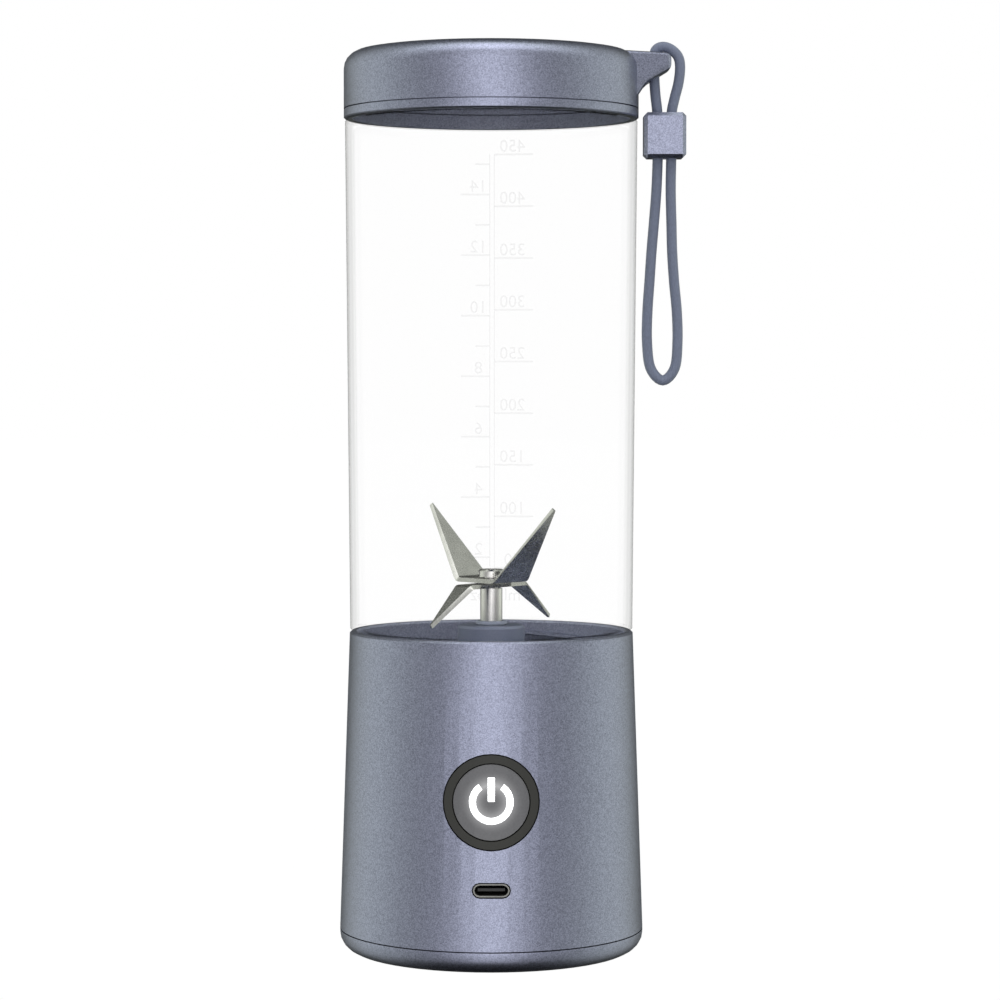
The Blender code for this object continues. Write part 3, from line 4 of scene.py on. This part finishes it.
import bmesh
import bpy
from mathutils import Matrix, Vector


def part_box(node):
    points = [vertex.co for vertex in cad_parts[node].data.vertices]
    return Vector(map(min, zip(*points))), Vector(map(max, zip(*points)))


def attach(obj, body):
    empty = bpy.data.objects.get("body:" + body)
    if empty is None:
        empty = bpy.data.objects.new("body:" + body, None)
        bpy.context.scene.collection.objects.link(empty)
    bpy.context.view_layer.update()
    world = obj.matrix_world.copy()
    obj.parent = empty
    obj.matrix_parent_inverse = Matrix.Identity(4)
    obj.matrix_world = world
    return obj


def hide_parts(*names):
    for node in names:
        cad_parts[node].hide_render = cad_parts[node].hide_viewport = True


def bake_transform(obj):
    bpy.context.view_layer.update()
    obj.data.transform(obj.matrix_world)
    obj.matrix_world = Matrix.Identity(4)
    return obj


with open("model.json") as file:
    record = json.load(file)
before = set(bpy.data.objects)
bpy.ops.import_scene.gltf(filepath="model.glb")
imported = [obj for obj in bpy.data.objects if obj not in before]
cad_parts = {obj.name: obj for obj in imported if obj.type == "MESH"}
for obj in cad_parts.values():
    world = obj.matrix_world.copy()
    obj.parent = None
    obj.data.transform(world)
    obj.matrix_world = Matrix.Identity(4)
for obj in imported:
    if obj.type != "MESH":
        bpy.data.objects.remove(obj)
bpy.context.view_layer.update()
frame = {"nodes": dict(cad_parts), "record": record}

MM = 0.001
JAR_TOP_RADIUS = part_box("jar")[1].x
CAP_LOW, CAP_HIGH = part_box("button_cap")
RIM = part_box("base_shell")[1].z
JAR_FOOT_RADIUS = 35.7 * MM
JAR_TAPER_HEIGHT = 128.6 * MM


# Camera

CAMERA_DISTANCE = 0.80
CAMERA_HEIGHT = 0.1464
CAMERA_LENS = 114.0
CAMERA_PITCH = math.radians(2.32)
CAMERA_YAW = math.radians(-0.158)


def make_camera():
    data = bpy.data.cameras.new("camera")
    data.lens = CAMERA_LENS
    data.sensor_width = 36.0
    data.clip_start = 0.01
    data.clip_end = 50.0
    camera = bpy.data.objects.new("camera", data)
    bpy.context.scene.collection.objects.link(camera)
    camera.location = (0.0, -CAMERA_DISTANCE, CAMERA_HEIGHT)
    camera.rotation_euler = (math.radians(90.0) - CAMERA_PITCH, 0.0, CAMERA_YAW)
    bpy.context.scene.camera = camera


# Node helpers

class Nodes:
    """Short ways to build a node tree."""

    def __init__(self, tree):
        self.tree = tree

    def node(self, kind, **settings):
        made = self.tree.nodes.new(kind)
        for key, value in settings.items():
            setattr(made, key, value)
        return made

    def link(self, output, target):
        self.tree.links.new(output, target)

    def fill(self, made, values):
        """Set a node's first sockets, each to a number, a vector or another node's output."""
        for socket, value in zip(made.inputs, values):
            if isinstance(value, bpy.types.NodeSocket):
                self.link(value, socket)
            else:
                socket.default_value = value

    def maths(self, operation, first, second=0.0):
        made = self.node("ShaderNodeMath", operation=operation)
        self.fill(made, (first, second))
        return made.outputs[0]

    def vector_maths(self, operation, *values, output="Vector"):
        made = self.node("ShaderNodeVectorMath", operation=operation)
        self.fill(made, values)
        return made.outputs[output]


class Look(Nodes):
    """A material with a Principled shader, and short ways to feed it."""

    def __init__(self, name, colour, roughness, metallic=0.0):
        self.material = bpy.data.materials.new(name)
        self.material.use_nodes = True
        super().__init__(self.material.node_tree)
        self.shader = self.tree.nodes["Principled BSDF"]
        self.colour = (*colour, 1.0)
        self.set("Base Color", self.colour)
        self.set("Roughness", roughness)
        self.set("Metallic", metallic)
        self.place = self.node("ShaderNodeTexCoord").outputs["Object"]

    def set(self, socket, value):
        self.shader.inputs[socket].default_value = value

    def feed(self, output, socket):
        self.link(output, self.shader.inputs[socket])

    def stretched(self, scale):
        mapping = self.node("ShaderNodeMapping")
        mapping.inputs["Scale"].default_value = scale
        self.link(self.place, mapping.inputs["Vector"])
        return mapping.outputs["Vector"]

    def noise(self, scale, detail=3.0, place=None):
        made = self.node("ShaderNodeTexNoise")
        made.inputs["Scale"].default_value = scale
        made.inputs["Detail"].default_value = detail
        self.link(place or self.place, made.inputs["Vector"])
        return made.outputs["Fac"]

    def cells(self, scale):
        made = self.node("ShaderNodeTexVoronoi")
        made.inputs["Scale"].default_value = scale
        self.link(self.place, made.inputs["Vector"])
        grey = self.node("ShaderNodeRGBToBW")
        self.link(made.outputs["Color"], grey.inputs[0])
        return grey.outputs[0]

    def spread(self, value, low, high, source=(0.0, 1.0)):
        made = self.node("ShaderNodeMapRange")
        made.inputs["From Min"].default_value = source[0]
        made.inputs["From Max"].default_value = source[1]
        made.inputs["To Min"].default_value = low
        made.inputs["To Max"].default_value = high
        self.link(value, made.inputs["Value"])
        return made.outputs["Result"]

    def facing(self):
        """0 where the surface faces the view, and 1 where it is seen edge on."""
        made = self.node("ShaderNodeLayerWeight")
        made.inputs["Blend"].default_value = 0.5
        return made.outputs["Facing"]

    def shade_colour(self, value, low, high, source=(0.0, 1.0)):
        """Vary the base colour's brightness between two factors."""
        factor = self.spread(value, low, high, source)
        made = self.node("ShaderNodeVectorMath", operation="SCALE")
        made.inputs[0].default_value = self.colour[:3]
        self.link(factor, made.inputs["Scale"])
        self.feed(made.outputs[0], "Base Color")

    def bump(self, value, strength, depth):
        made = self.node("ShaderNodeBump")
        made.inputs["Strength"].default_value = strength
        made.inputs["Distance"].default_value = depth
        self.link(value, made.inputs["Height"])
        self.feed(made.outputs["Normal"], "Normal")


# Materials

FLAKE_SCALE = 4600.0
GRAIN_SCALE = 2200.0
# The values that a noise texture mostly stays between
NOISE_RANGE = (0.3, 0.7)
# Factors that leave only the directions across the upright axis, and across the front
ACROSS_AXIS = (1.0, 1.0, 0.0)
ACROSS_FRONT = (1.0, 0.0, 1.0)
WHITE = (1.0, 1.0, 1.0, 1.0)

COAT_METALLIC = 0.90
BARE_METALLIC = 0.15
FLAKE_SHARE = 0.75
# The cosines between which a wall counts more and more as facing the axis
INWARD_RANGE = (-0.6, -0.3)

# Clear plastic's opacity: seen straight through, in a band near its edges, and at the very edge.
# Where it is opaque, its grey colour paints the shade seen at the jar's edges
CLEAR_ALPHA = 0.003
BAND_ALPHA = 0.14
BAND_RANGE = (0.645, 0.72)
RIM_ALPHA = 0.36
RIM_RANGE = (0.78, 1.0)
# The distances from the axis between which that painted edge shade comes in
SHADED_RADII = (34.9 * MM, 35.4 * MM)

# Painted glow on the button cap: the ring it centres on, how far it reaches, and how bright it is
GLOW_RADIUS = 4.2 * MM
GLOW_REACH = 3.6 * MM
GLOW_STRENGTH = 0.55


def flake_paint(name, colour, contrast=0.30):
    """Satin metallic paint with fine flakes that catch the light one by one."""
    look = Look(name, colour, 0.32, COAT_METALLIC)
    flakes = look.cells(FLAKE_SCALE)
    clouds = look.noise(GRAIN_SCALE, 2.0)
    mixed = look.maths(
        "ADD",
        look.maths("MULTIPLY", flakes, FLAKE_SHARE),
        look.maths("MULTIPLY", clouds, 1.0 - FLAKE_SHARE),
    )
    look.shade_colour(mixed, 1.0 - contrast, 1.0 + contrast, (0.2, 0.75))
    look.feed(look.spread(flakes, 0.27, 0.37), "Roughness")
    look.feed(look.spread(faces_inward(look), COAT_METALLIC, BARE_METALLIC), "Metallic")
    look.bump(flakes, 0.10, 0.00003)
    return look.material


def faces_inward(look):
    """1 on walls that face the object's axis, which carry less metallic coat, and 0 elsewhere."""
    normal = look.node("ShaderNodeTexCoord").outputs["Normal"]
    away = look.vector_maths("NORMALIZE", look.vector_maths("MULTIPLY", look.place, ACROSS_AXIS))
    outward = look.vector_maths("DOT_PRODUCT", away, normal, output="Value")
    return look.spread(outward, 1.0, 0.0, INWARD_RANGE)


def moulded_plastic(name, colour, roughness, grain=0.10, depth=0.00004):
    """Moulded plastic with the fine texture of a spark-eroded tool."""
    look = Look(name, colour, roughness)
    grains = look.noise(GRAIN_SCALE * 1.6, 4.0)
    look.shade_colour(grains, 1.0 - grain, 1.0 + grain, NOISE_RANGE)
    look.feed(look.spread(grains, roughness - 0.06, roughness + 0.06, NOISE_RANGE), "Roughness")
    look.bump(grains, 0.15, depth)
    return look.material


def from_axis(look):
    """Distance from the object's upright axis."""
    flat = look.vector_maths("MULTIPLY", look.place, ACROSS_AXIS)
    return look.vector_maths("LENGTH", flat, output="Value")


def clear_plastic(name):
    """Thin clear plastic: seen straight through and glossy, with painted shade where it is seen
    edge on, from a grey colour made opaque towards its edges.
    """
    # The grey colour is painted shade, which shows only where the edges are made opaque
    look = Look(name, (0.30, 0.305, 0.31), 0.06)
    polish = look.noise(70.0, 2.0)
    look.feed(look.spread(polish, 0.04, 0.09, NOISE_RANGE), "Roughness")
    facing = look.facing()
    band = look.spread(facing, 0.0, BAND_ALPHA, BAND_RANGE)
    rim = look.spread(facing, 0.0, RIM_ALPHA, RIM_RANGE)
    edge = look.maths("ADD", band, rim)
    outside = look.spread(from_axis(look), 0.10, 1.0, SHADED_RADII)
    look.feed(look.maths("ADD", look.maths("MULTIPLY", edge, outside), CLEAR_ALPHA), "Alpha")
    return look.material


def clear_relief(name):
    """Moulded figures in clear plastic, which show by their edges, with painted shade: a grey
    colour made more opaque where they are seen edge on.
    """
    look = Look(name, (0.25, 0.25, 0.26), 0.10)
    polish = look.noise(300.0, 2.0)
    look.feed(look.spread(polish, 0.05, 0.15, NOISE_RANGE), "Roughness")
    # Painted shade: the grey colour shows more where the figures are seen edge on
    look.feed(look.spread(look.facing(), 0.05, 0.30, (0.1, 0.9)), "Alpha")
    return look.material


def brushed_metal(name, colour, roughness, along=(1.0, 1.0, 0.02), scale=2600.0):
    """Metal with fine parallel scratches."""
    look = Look(name, colour, roughness, 1.0)
    scratches = look.noise(scale, 3.0, look.stretched(along))
    clouds = look.noise(220.0, 2.0)
    look.shade_colour(clouds, 0.90, 1.08, NOISE_RANGE)
    look.feed(look.spread(scratches, roughness - 0.07, roughness + 0.10, NOISE_RANGE), "Roughness")
    look.bump(scratches, 0.10, 0.00003)
    return look.material


def rubber(name, colour, roughness=0.75):
    look = Look(name, colour, roughness)
    grains = look.noise(GRAIN_SCALE, 5.0)
    look.set("Specular IOR Level", 0.35)
    look.shade_colour(grains, 0.85, 1.15, NOISE_RANGE)
    look.bump(grains, 0.30, 0.00008)
    return look.material


def woven_cord(name, colour):
    """A tight matt cord: fine fibres that run along it, with a slight sheen."""
    look = Look(name, colour, 0.68)
    look.set("Sheen Weight", 0.25)
    look.set("Sheen Roughness", 0.5)
    fibres = look.noise(3200.0, 4.0, look.stretched((1.0, 1.0, 0.35)))
    look.shade_colour(fibres, 0.88, 1.12, NOISE_RANGE)
    look.bump(fibres, 0.25, 0.00006)
    return look.material


def backlit_cap(name, colour):
    """The grey cap, with a painted glow: emission round the lit symbol stands in for the guide's
    light showing through it.
    """
    look = Look(name, colour, 0.38)
    grains = look.noise(GRAIN_SCALE, 4.0)
    look.bump(grains, 0.10, 0.00003)
    offset = look.vector_maths("SUBTRACT", look.place, (CAP_LOW + CAP_HIGH) / 2.0)
    flat = look.vector_maths("MULTIPLY", offset, ACROSS_FRONT)
    reach = look.vector_maths("LENGTH", flat, output="Value")
    from_ring = look.maths("ABSOLUTE", look.maths("SUBTRACT", reach, GLOW_RADIUS))
    # Painted glow: the cap's emission is strongest on the symbol's ring and fades away from it
    glow = look.spread(from_ring, GLOW_STRENGTH, 0.0, (0.0, GLOW_REACH))
    look.set("Emission Color", WHITE)
    look.feed(look.maths("POWER", glow, 2.0), "Emission Strength")
    look.shade_colour(grains, 0.92, 1.08, NOISE_RANGE)
    return look.material


def lit_guide(name):
    look = Look(name, (1.0, 1.0, 1.0), 0.25)
    cloud = look.noise(400.0, 2.0)
    look.set("Emission Color", WHITE)
    look.feed(look.spread(cloud, 1.5, 2.0, NOISE_RANGE), "Emission Strength")
    return look.material


def circuit_board(name, colour):
    """Green solder mask with rows of tinned pads."""
    look = Look(name, colour, 0.40)
    tracks = look.cells(420.0)
    look.shade_colour(tracks, 0.7, 1.4)
    look.feed(look.spread(tracks, 0.30, 0.50), "Roughness")
    look.bump(tracks, 0.2, 0.00003)
    return look.material


SLATE = (0.258, 0.273, 0.362)
SLATE_PLAIN = (0.165, 0.185, 0.260)


def make_looks():
    return {
        "paint": flake_paint("slate_paint", SLATE),
        "slate_plastic": moulded_plastic("slate_plastic", SLATE_PLAIN, 0.42),
        "clear_jar": clear_plastic("clear_jar"),
        "relief": clear_relief("clear_relief"),
        "steel": brushed_metal("brushed_steel", (0.60, 0.59, 0.58), 0.26),
        "port_steel": brushed_metal("port_steel", (0.20, 0.20, 0.19), 0.40),
        "zinc": brushed_metal("zinc_plate", (0.42, 0.42, 0.44), 0.36),
        "bronze": brushed_metal("sintered_bronze", (0.50, 0.34, 0.15), 0.45),
        "copper": brushed_metal("wound_copper", (0.55, 0.22, 0.10), 0.40),
        "ferrite": moulded_plastic("ferrite", (0.05, 0.05, 0.055), 0.60, 0.2),
        "bezel_plastic": moulded_plastic("bezel_plastic", (0.019, 0.019, 0.016), 0.60),
        "cap_plastic": backlit_cap("cap_plastic", (0.110, 0.110, 0.118)),
        "light": lit_guide("light_guide"),
        "black_plastic": moulded_plastic("black_plastic", (0.02, 0.02, 0.022), 0.5),
        "foot_rubber": rubber("foot_rubber", (0.04, 0.04, 0.045)),
        "silicone": moulded_plastic("silicone", (0.30, 0.33, 0.42), 0.50),
        "board": circuit_board("solder_mask", (0.02, 0.14, 0.06)),
        "cell_wrap": moulded_plastic("cell_wrap", (0.06, 0.18, 0.45), 0.30, 0.05),
        "red_wire": moulded_plastic("red_insulation", (0.50, 0.03, 0.03), 0.40),
        "cord": woven_cord("slate_cord", (0.140, 0.162, 0.235)),
    }


# Nodes with a look of their own instead of their slot's
OWN_LOOKS = {"port_shell": "port_steel"}
SHARP_ANGLE = math.radians(34.0)
WELD_DISTANCE = 0.000002


def smoothing_group():
    """Geometry nodes that shade a CAD solid smooth between facets that meet at a shallow angle."""
    group = bpy.data.node_groups.new("smooth_facets", "GeometryNodeTree")
    group.interface.new_socket("Geometry", in_out="INPUT", socket_type="NodeSocketGeometry")
    group.interface.new_socket("Geometry", in_out="OUTPUT", socket_type="NodeSocketGeometry")
    start = group.nodes.new("NodeGroupInput")
    end = group.nodes.new("NodeGroupOutput")
    bare = group.nodes.new("GeometryNodeRemoveAttribute")
    bare.inputs["Name"].default_value = "custom_normal"
    weld = group.nodes.new("GeometryNodeMergeByDistance")
    weld.inputs["Distance"].default_value = WELD_DISTANCE
    angle = group.nodes.new("GeometryNodeInputMeshEdgeAngle")
    shallow = group.nodes.new("FunctionNodeCompare")
    shallow.operation = "LESS_THAN"
    shallow.inputs[1].default_value = SHARP_ANGLE
    faces = group.nodes.new("GeometryNodeSetShadeSmooth")
    edges = group.nodes.new("GeometryNodeSetShadeSmooth")
    edges.domain = "EDGE"
    link = group.links.new
    link(start.outputs[0], bare.inputs["Geometry"])
    link(bare.outputs["Geometry"], weld.inputs["Geometry"])
    link(weld.outputs["Geometry"], faces.inputs[0])
    link(faces.outputs[0], edges.inputs[0])
    link(angle.outputs["Unsigned Angle"], shallow.inputs[0])
    link(shallow.outputs[0], edges.inputs["Shade Smooth"])
    link(edges.outputs[0], end.inputs[0])
    return group


def smooth_node(node, group):
    node.modifiers.new("Smooth", "NODES").node_group = group
    weighted = node.modifiers.new("Weighted", "WEIGHTED_NORMAL")
    weighted.keep_sharp = True


def dress_frame(looks):
    """Give every CAD node the detailed material of its slot and smooth shading."""
    group = smoothing_group()
    for part in frame["record"]["subparts"]:
        node = frame["nodes"][part["node"]]
        node.data.materials.clear()
        node.data.materials.append(looks[OWN_LOOKS.get(part["node"], part["material_slot"])])
        smooth_node(node, group)
    frame["nodes"]["jar"].visible_shadow = False


# Strap

CORD_RADIUS = 1.3 * MM
CORD_SIDES = 20
CORD_STEPS = 6
CORD_ROUTE = (
    (41.9, 0.0, 206.2), (41.8, 0.0, 211.4), (41.3, 0.0, 216.0), (41.0, 0.0, 220.5),
    (41.0, 0.0, 225.6), (41.6, 0.0, 227.4), (43.3, 0.0, 228.0), (45.3, 0.0, 227.3),
    (47.0, 0.0, 225.5), (47.5, 0.0, 222.9), (47.1, 0.0, 219.0), (46.1, 0.0, 215.0),
    (45.4, 0.0, 211.4), (45.3, 0.0, 206.0), (45.3, 0.0, 200.0), (45.2, 0.0, 192.0),
    (45.4, 0.0, 184.0), (45.6, 0.0, 176.7), (46.1, 0.0, 169.1), (46.8, 0.0, 161.6),
    (47.0, 0.0, 154.0), (46.3, 0.0, 147.3), (43.3, 0.0, 144.2), (40.2, 0.0, 147.3),
    (39.3, 0.0, 154.0), (39.4, 0.0, 161.6), (39.9, 0.0, 169.1), (40.4, 0.0, 176.7),
    (41.0, 0.0, 184.0), (41.6, 0.0, 192.0), (41.9, 0.0, 200.0), (41.9, 0.0, 205.6),
)
MADE_SHARP_ANGLE = math.radians(40.0)


def smooth_path(route, steps):
    """Points along a curve that runs through every point of a route."""
    points = [Vector(point) * MM for point in route]
    ends = [2.0 * points[0] - points[1]] + points + [2.0 * points[-1] - points[-2]]
    path = []
    for first, start, end, last in zip(ends, ends[1:], ends[2:], ends[3:]):
        for step in range(steps):
            share = step / steps
            lean = (end - first) * 0.5
            next_lean = (last - start) * 0.5
            square = share * share
            cube = square * share
            path.append(
                start * (2 * cube - 3 * square + 1) + lean * (cube - 2 * square + share)
                + end * (3 * square - 2 * cube) + next_lean * (cube - square)
            )
    path.append(points[-1])
    return path


def make_object(name, bm, look):
    bmesh.ops.recalc_face_normals(bm, faces=bm.faces)
    mesh = bpy.data.meshes.new(name)
    bm.to_mesh(mesh)
    bm.free()
    mesh.materials.append(look)
    mesh.polygons.foreach_set("use_smooth", [True] * len(mesh.polygons))
    mesh.set_sharp_from_angle(angle=MADE_SHARP_ANGLE)
    obj = bpy.data.objects.new(name, mesh)
    bpy.context.scene.collection.objects.link(obj)
    return obj


def skin(bm, rings):
    """Faces from each ring to the next, and a cap on the first and the last."""
    for one, other in zip(rings, rings[1:]):
        for side in range(len(one)):
            after = (side + 1) % len(one)
            bm.faces.new((one[side], one[after], other[after], other[side]))
    bm.faces.new(rings[0])
    bm.faces.new(rings[-1])


def sweep(bm, path, radius, sides):
    """A round tube along a path, closed at both ends. The path lies in the XZ plane."""
    rings = []
    for index, point in enumerate(path):
        before = path[max(index - 1, 0)]
        after = path[min(index + 1, len(path) - 1)]
        along = (after - before).normalized()
        across = Vector((0.0, 1.0, 0.0))
        up = along.cross(across).normalized()
        ring = []
        for side in range(sides):
            turn = math.tau * side / sides
            offset = (across * math.cos(turn) + up * math.sin(turn)) * radius
            ring.append(bm.verts.new(point + offset))
        rings.append(ring)
    skin(bm, rings)


def make_strap(looks):
    path = smooth_path(CORD_ROUTE, CORD_STEPS)
    bm = bmesh.new()
    sweep(bm, path, CORD_RADIUS, CORD_SIDES)
    cord = make_object("wrist_cord", bm, looks["cord"])
    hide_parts("strap_cord")
    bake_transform(cord)


# Scale marks on the back of the jar, which read from behind

MARK_PROUD = 0.22 * MM
MARK_GAP = 0.01 * MM
LINE_WIDTH = 0.42 * MM
DIGIT_HEIGHT = 3.3 * MM
ML_LINE = (0.8 * MM, 11.2 * MM)
OZ_LONG = (-8.1 * MM, -0.5 * MM)
OZ_SHORT = (-4.2 * MM, -0.5 * MM)
ML_DIGITS = 5.6 * MM
OZ_DIGITS = -3.4 * MM
ML_FIRST = 94.6 * MM
ML_STEP = 13.62 * MM
OZ_FIRST = 97.4 * MM
OZ_STEP = 7.97 * MM
SCALE_FOOT = 86.0 * MM
ML_MARKS = 9
ML_PER_MARK = 50
OZ_MARKS = range(2, 16)
BAR_STEP = 1.0 * MM
DIGIT_RISE = 0.7 * MM
UPRIGHTS = (-0.4 * MM, 0.8 * MM)
CAPITAL_SHARE = 0.72


def jar_radius(height):
    """The outer radius of the jar's tapered wall."""
    return JAR_FOOT_RADIUS + (JAR_TOP_RADIUS - JAR_FOOT_RADIUS) * (height - RIM) / JAR_TAPER_HEIGHT


def on_jar(across, height, proud):
    """A point on the back of the jar: across is the place along X seen from the front."""
    radius = jar_radius(height) + MARK_GAP + proud
    turn = across / radius
    return Vector((radius * math.sin(turn), radius * math.cos(turn), height))


def add_bar(bm, low, high, bottom, top):
    """A raised line on the jar's wall, bent round it."""
    steps = max(1, round((high - low) / BAR_STEP))
    rings = []
    for step in range(steps + 1):
        across = low + (high - low) * step / steps
        rings.append([
            bm.verts.new(on_jar(across, bottom, 0.0)),
            bm.verts.new(on_jar(across, bottom, MARK_PROUD)),
            bm.verts.new(on_jar(across, top, MARK_PROUD)),
            bm.verts.new(on_jar(across, top, 0.0)),
        ])
    skin(bm, rings)


def add_text(bm, text, middle, foot):
    """Raised figures on the jar's wall, drawn with Blender's own font."""
    curve = bpy.data.curves.new("figures", "FONT")
    curve.body = text
    curve.size = DIGIT_HEIGHT / CAPITAL_SHARE
    curve.align_x = "CENTER"
    curve.extrude = MARK_PROUD / 2
    curve.resolution_u = 3
    spare = bpy.data.objects.new("figures", curve)
    mesh = spare.to_mesh()
    flat = bmesh.new()
    flat.from_mesh(mesh)
    for vert in flat.verts:
        vert.co = on_jar(middle - vert.co.x, foot + vert.co.y, vert.co.z + MARK_PROUD / 2)
    joined = bpy.data.meshes.new("figures")
    flat.to_mesh(joined)
    flat.free()
    bm.from_mesh(joined)
    spare.to_mesh_clear()
    bpy.data.meshes.remove(joined)
    bpy.data.objects.remove(spare)
    bpy.data.curves.remove(curve)


def make_scale(look):
    bm = bmesh.new()
    for index in range(ML_MARKS):
        height = ML_FIRST + ML_STEP * index
        add_bar(bm, *ML_LINE, height - LINE_WIDTH / 2, height + LINE_WIDTH / 2)
        add_text(bm, str(ML_PER_MARK * (index + 1)), ML_DIGITS, height + DIGIT_RISE)
    for ounces in OZ_MARKS:
        height = OZ_FIRST + OZ_STEP * (ounces - OZ_MARKS.start)
        span = OZ_SHORT if ounces % 2 else OZ_LONG
        add_bar(bm, *span, height - LINE_WIDTH / 2, height + LINE_WIDTH / 2)
        if ounces % 2 == 0:
            add_text(bm, str(ounces), OZ_DIGITS, height + DIGIT_RISE)
    top = ML_FIRST + (ML_MARKS - 1) * ML_STEP
    for middle in UPRIGHTS:
        add_bar(bm, middle - LINE_WIDTH / 3, middle + LINE_WIDTH / 3, SCALE_FOOT, top)
    add_text(bm, "ml", ML_DIGITS, SCALE_FOOT)
    add_text(bm, "oz", OZ_DIGITS, SCALE_FOOT)
    marks = make_object("scale_marks", bm, look)
    marks.visible_shadow = False
    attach(marks, "jar")


# Studio

FLOOR_HALF_SIZE = 6.0
FLOOR_DROP = 0.2 * MM


def make_floor():
    """A pale floor that shows as plain white and throws no light of its own on the object."""
    bm = bmesh.new()
    bmesh.ops.create_grid(bm, x_segments=1, y_segments=1, size=FLOOR_HALF_SIZE)
    look = Look("floor", (0.0, 0.0, 0.0), 1.0)
    look.set("Specular IOR Level", 0.0)
    look.set("Emission Color", WHITE)
    look.feed(look.spread(look.noise(3.0), 1.0, 1.01), "Emission Strength")
    floor = make_object("floor", bm, look.material)
    floor.location.z = -FLOOR_DROP
    floor.visible_glossy = False
    floor.visible_diffuse = False


# Brightness of the studio round the object: degrees from the camera's side, and light
AROUND = (
    (0.0, 1.92), (12.0, 1.62), (26.0, 0.98), (42.0, 0.60), (60.0, 0.62), (80.0, 0.84),
    (102.0, 1.08), (122.0, 0.98), (140.0, 0.55), (155.0, 0.16), (180.0, 0.06),
)
# Brightness overhead: degrees above the horizon on the camera's side, passing over to the back
OVERHEAD = (
    (0.0, 0.0), (38.0, 0.0), (58.0, 2.6), (86.0, 2.6), (104.0, 0.3), (122.0, 0.0), (180.0, 0.0),
)
# The share of the light left underneath, and the heights of direction where it fades to that
BELOW = 0.04
FADE_FROM = -0.98
FADE_TO = -0.62
MOST_LIGHT = 4.0
# Shares of the half turn between which the light goes from white to slightly green
TINT_FROM = 0.20
TINT_TO = 0.50
TINT = (0.98, 1.03, 0.93, 1.0)


def make_world():
    """A white backdrop with a studio that only the object's surfaces see."""
    world = bpy.data.worlds.new("studio")
    bpy.context.scene.world = world
    world.use_nodes = True
    world.node_tree.nodes.clear()
    studio = Nodes(world.node_tree)
    node, link, maths = studio.node, studio.link, studio.maths

    def levels(angle, stops):
        """Light by angle, in radians, from stops in degrees."""
        made = node("ShaderNodeValToRGB")
        ramp = made.color_ramp
        ramp.interpolation = "CARDINAL"
        while len(ramp.elements) < len(stops):
            ramp.elements.new(1.0)
        for element, (degrees, light) in zip(ramp.elements, stops):
            element.position = degrees / 180.0
            share = light / MOST_LIGHT
            element.color = (share, share, share, 1.0)
        link(maths("DIVIDE", angle, math.pi), made.inputs["Fac"])
        return maths("MULTIPLY", made.outputs["Color"], MOST_LIGHT)

    def tinted(angle):
        """White light in front, and slightly green light from the sides and the back."""
        made = node("ShaderNodeValToRGB")
        ramp = made.color_ramp
        ramp.elements[0].position = TINT_FROM
        ramp.elements[1].position = TINT_TO
        ramp.elements[0].color = WHITE
        ramp.elements[1].color = TINT
        link(maths("DIVIDE", angle, math.pi), made.inputs["Fac"])
        return made.outputs["Color"]

    split = node("ShaderNodeSeparateXYZ")
    link(node("ShaderNodeTexCoord").outputs["Generated"], split.inputs[0])
    x, y, z = split.outputs
    forward = maths("MULTIPLY", y, -1.0)
    around = maths("ABSOLUTE", maths("ARCTAN2", x, forward))
    over = maths("ARCTAN2", z, forward)
    level = maths("SUBTRACT", 1.0, maths("POWER", maths("ABSOLUTE", z), 2.0))
    ring = maths("MULTIPLY", levels(around, AROUND), level)
    narrow = maths("SUBTRACT", 1.0, maths("MINIMUM", maths("ABSOLUTE", x), 1.0))
    top = maths("MULTIPLY", levels(maths("MAXIMUM", over, 0.0), OVERHEAD), narrow)
    above = node("ShaderNodeMapRange", interpolation_type="SMOOTHSTEP")
    studio.fill(above, (z, FADE_FROM, FADE_TO, BELOW, 1.0))
    lit = node("ShaderNodeBackground")
    link(tinted(around), lit.inputs["Color"])
    link(maths("MULTIPLY", maths("ADD", ring, top), above.outputs[0]), lit.inputs["Strength"])
    white = node("ShaderNodeBackground")
    white.inputs["Color"].default_value = WHITE
    mix = node("ShaderNodeMixShader")
    link(node("ShaderNodeLightPath").outputs["Is Camera Ray"], mix.inputs[0])
    link(lit.outputs[0], mix.inputs[1])
    link(white.outputs[0], mix.inputs[2])
    link(mix.outputs[0], node("ShaderNodeOutputWorld").inputs["Surface"])


bpy.context.scene.view_settings.view_transform = "Standard"
looks = make_looks()
make_camera()
dress_frame(looks)
make_strap(looks)
make_scale(looks["relief"])
make_floor()
make_world()
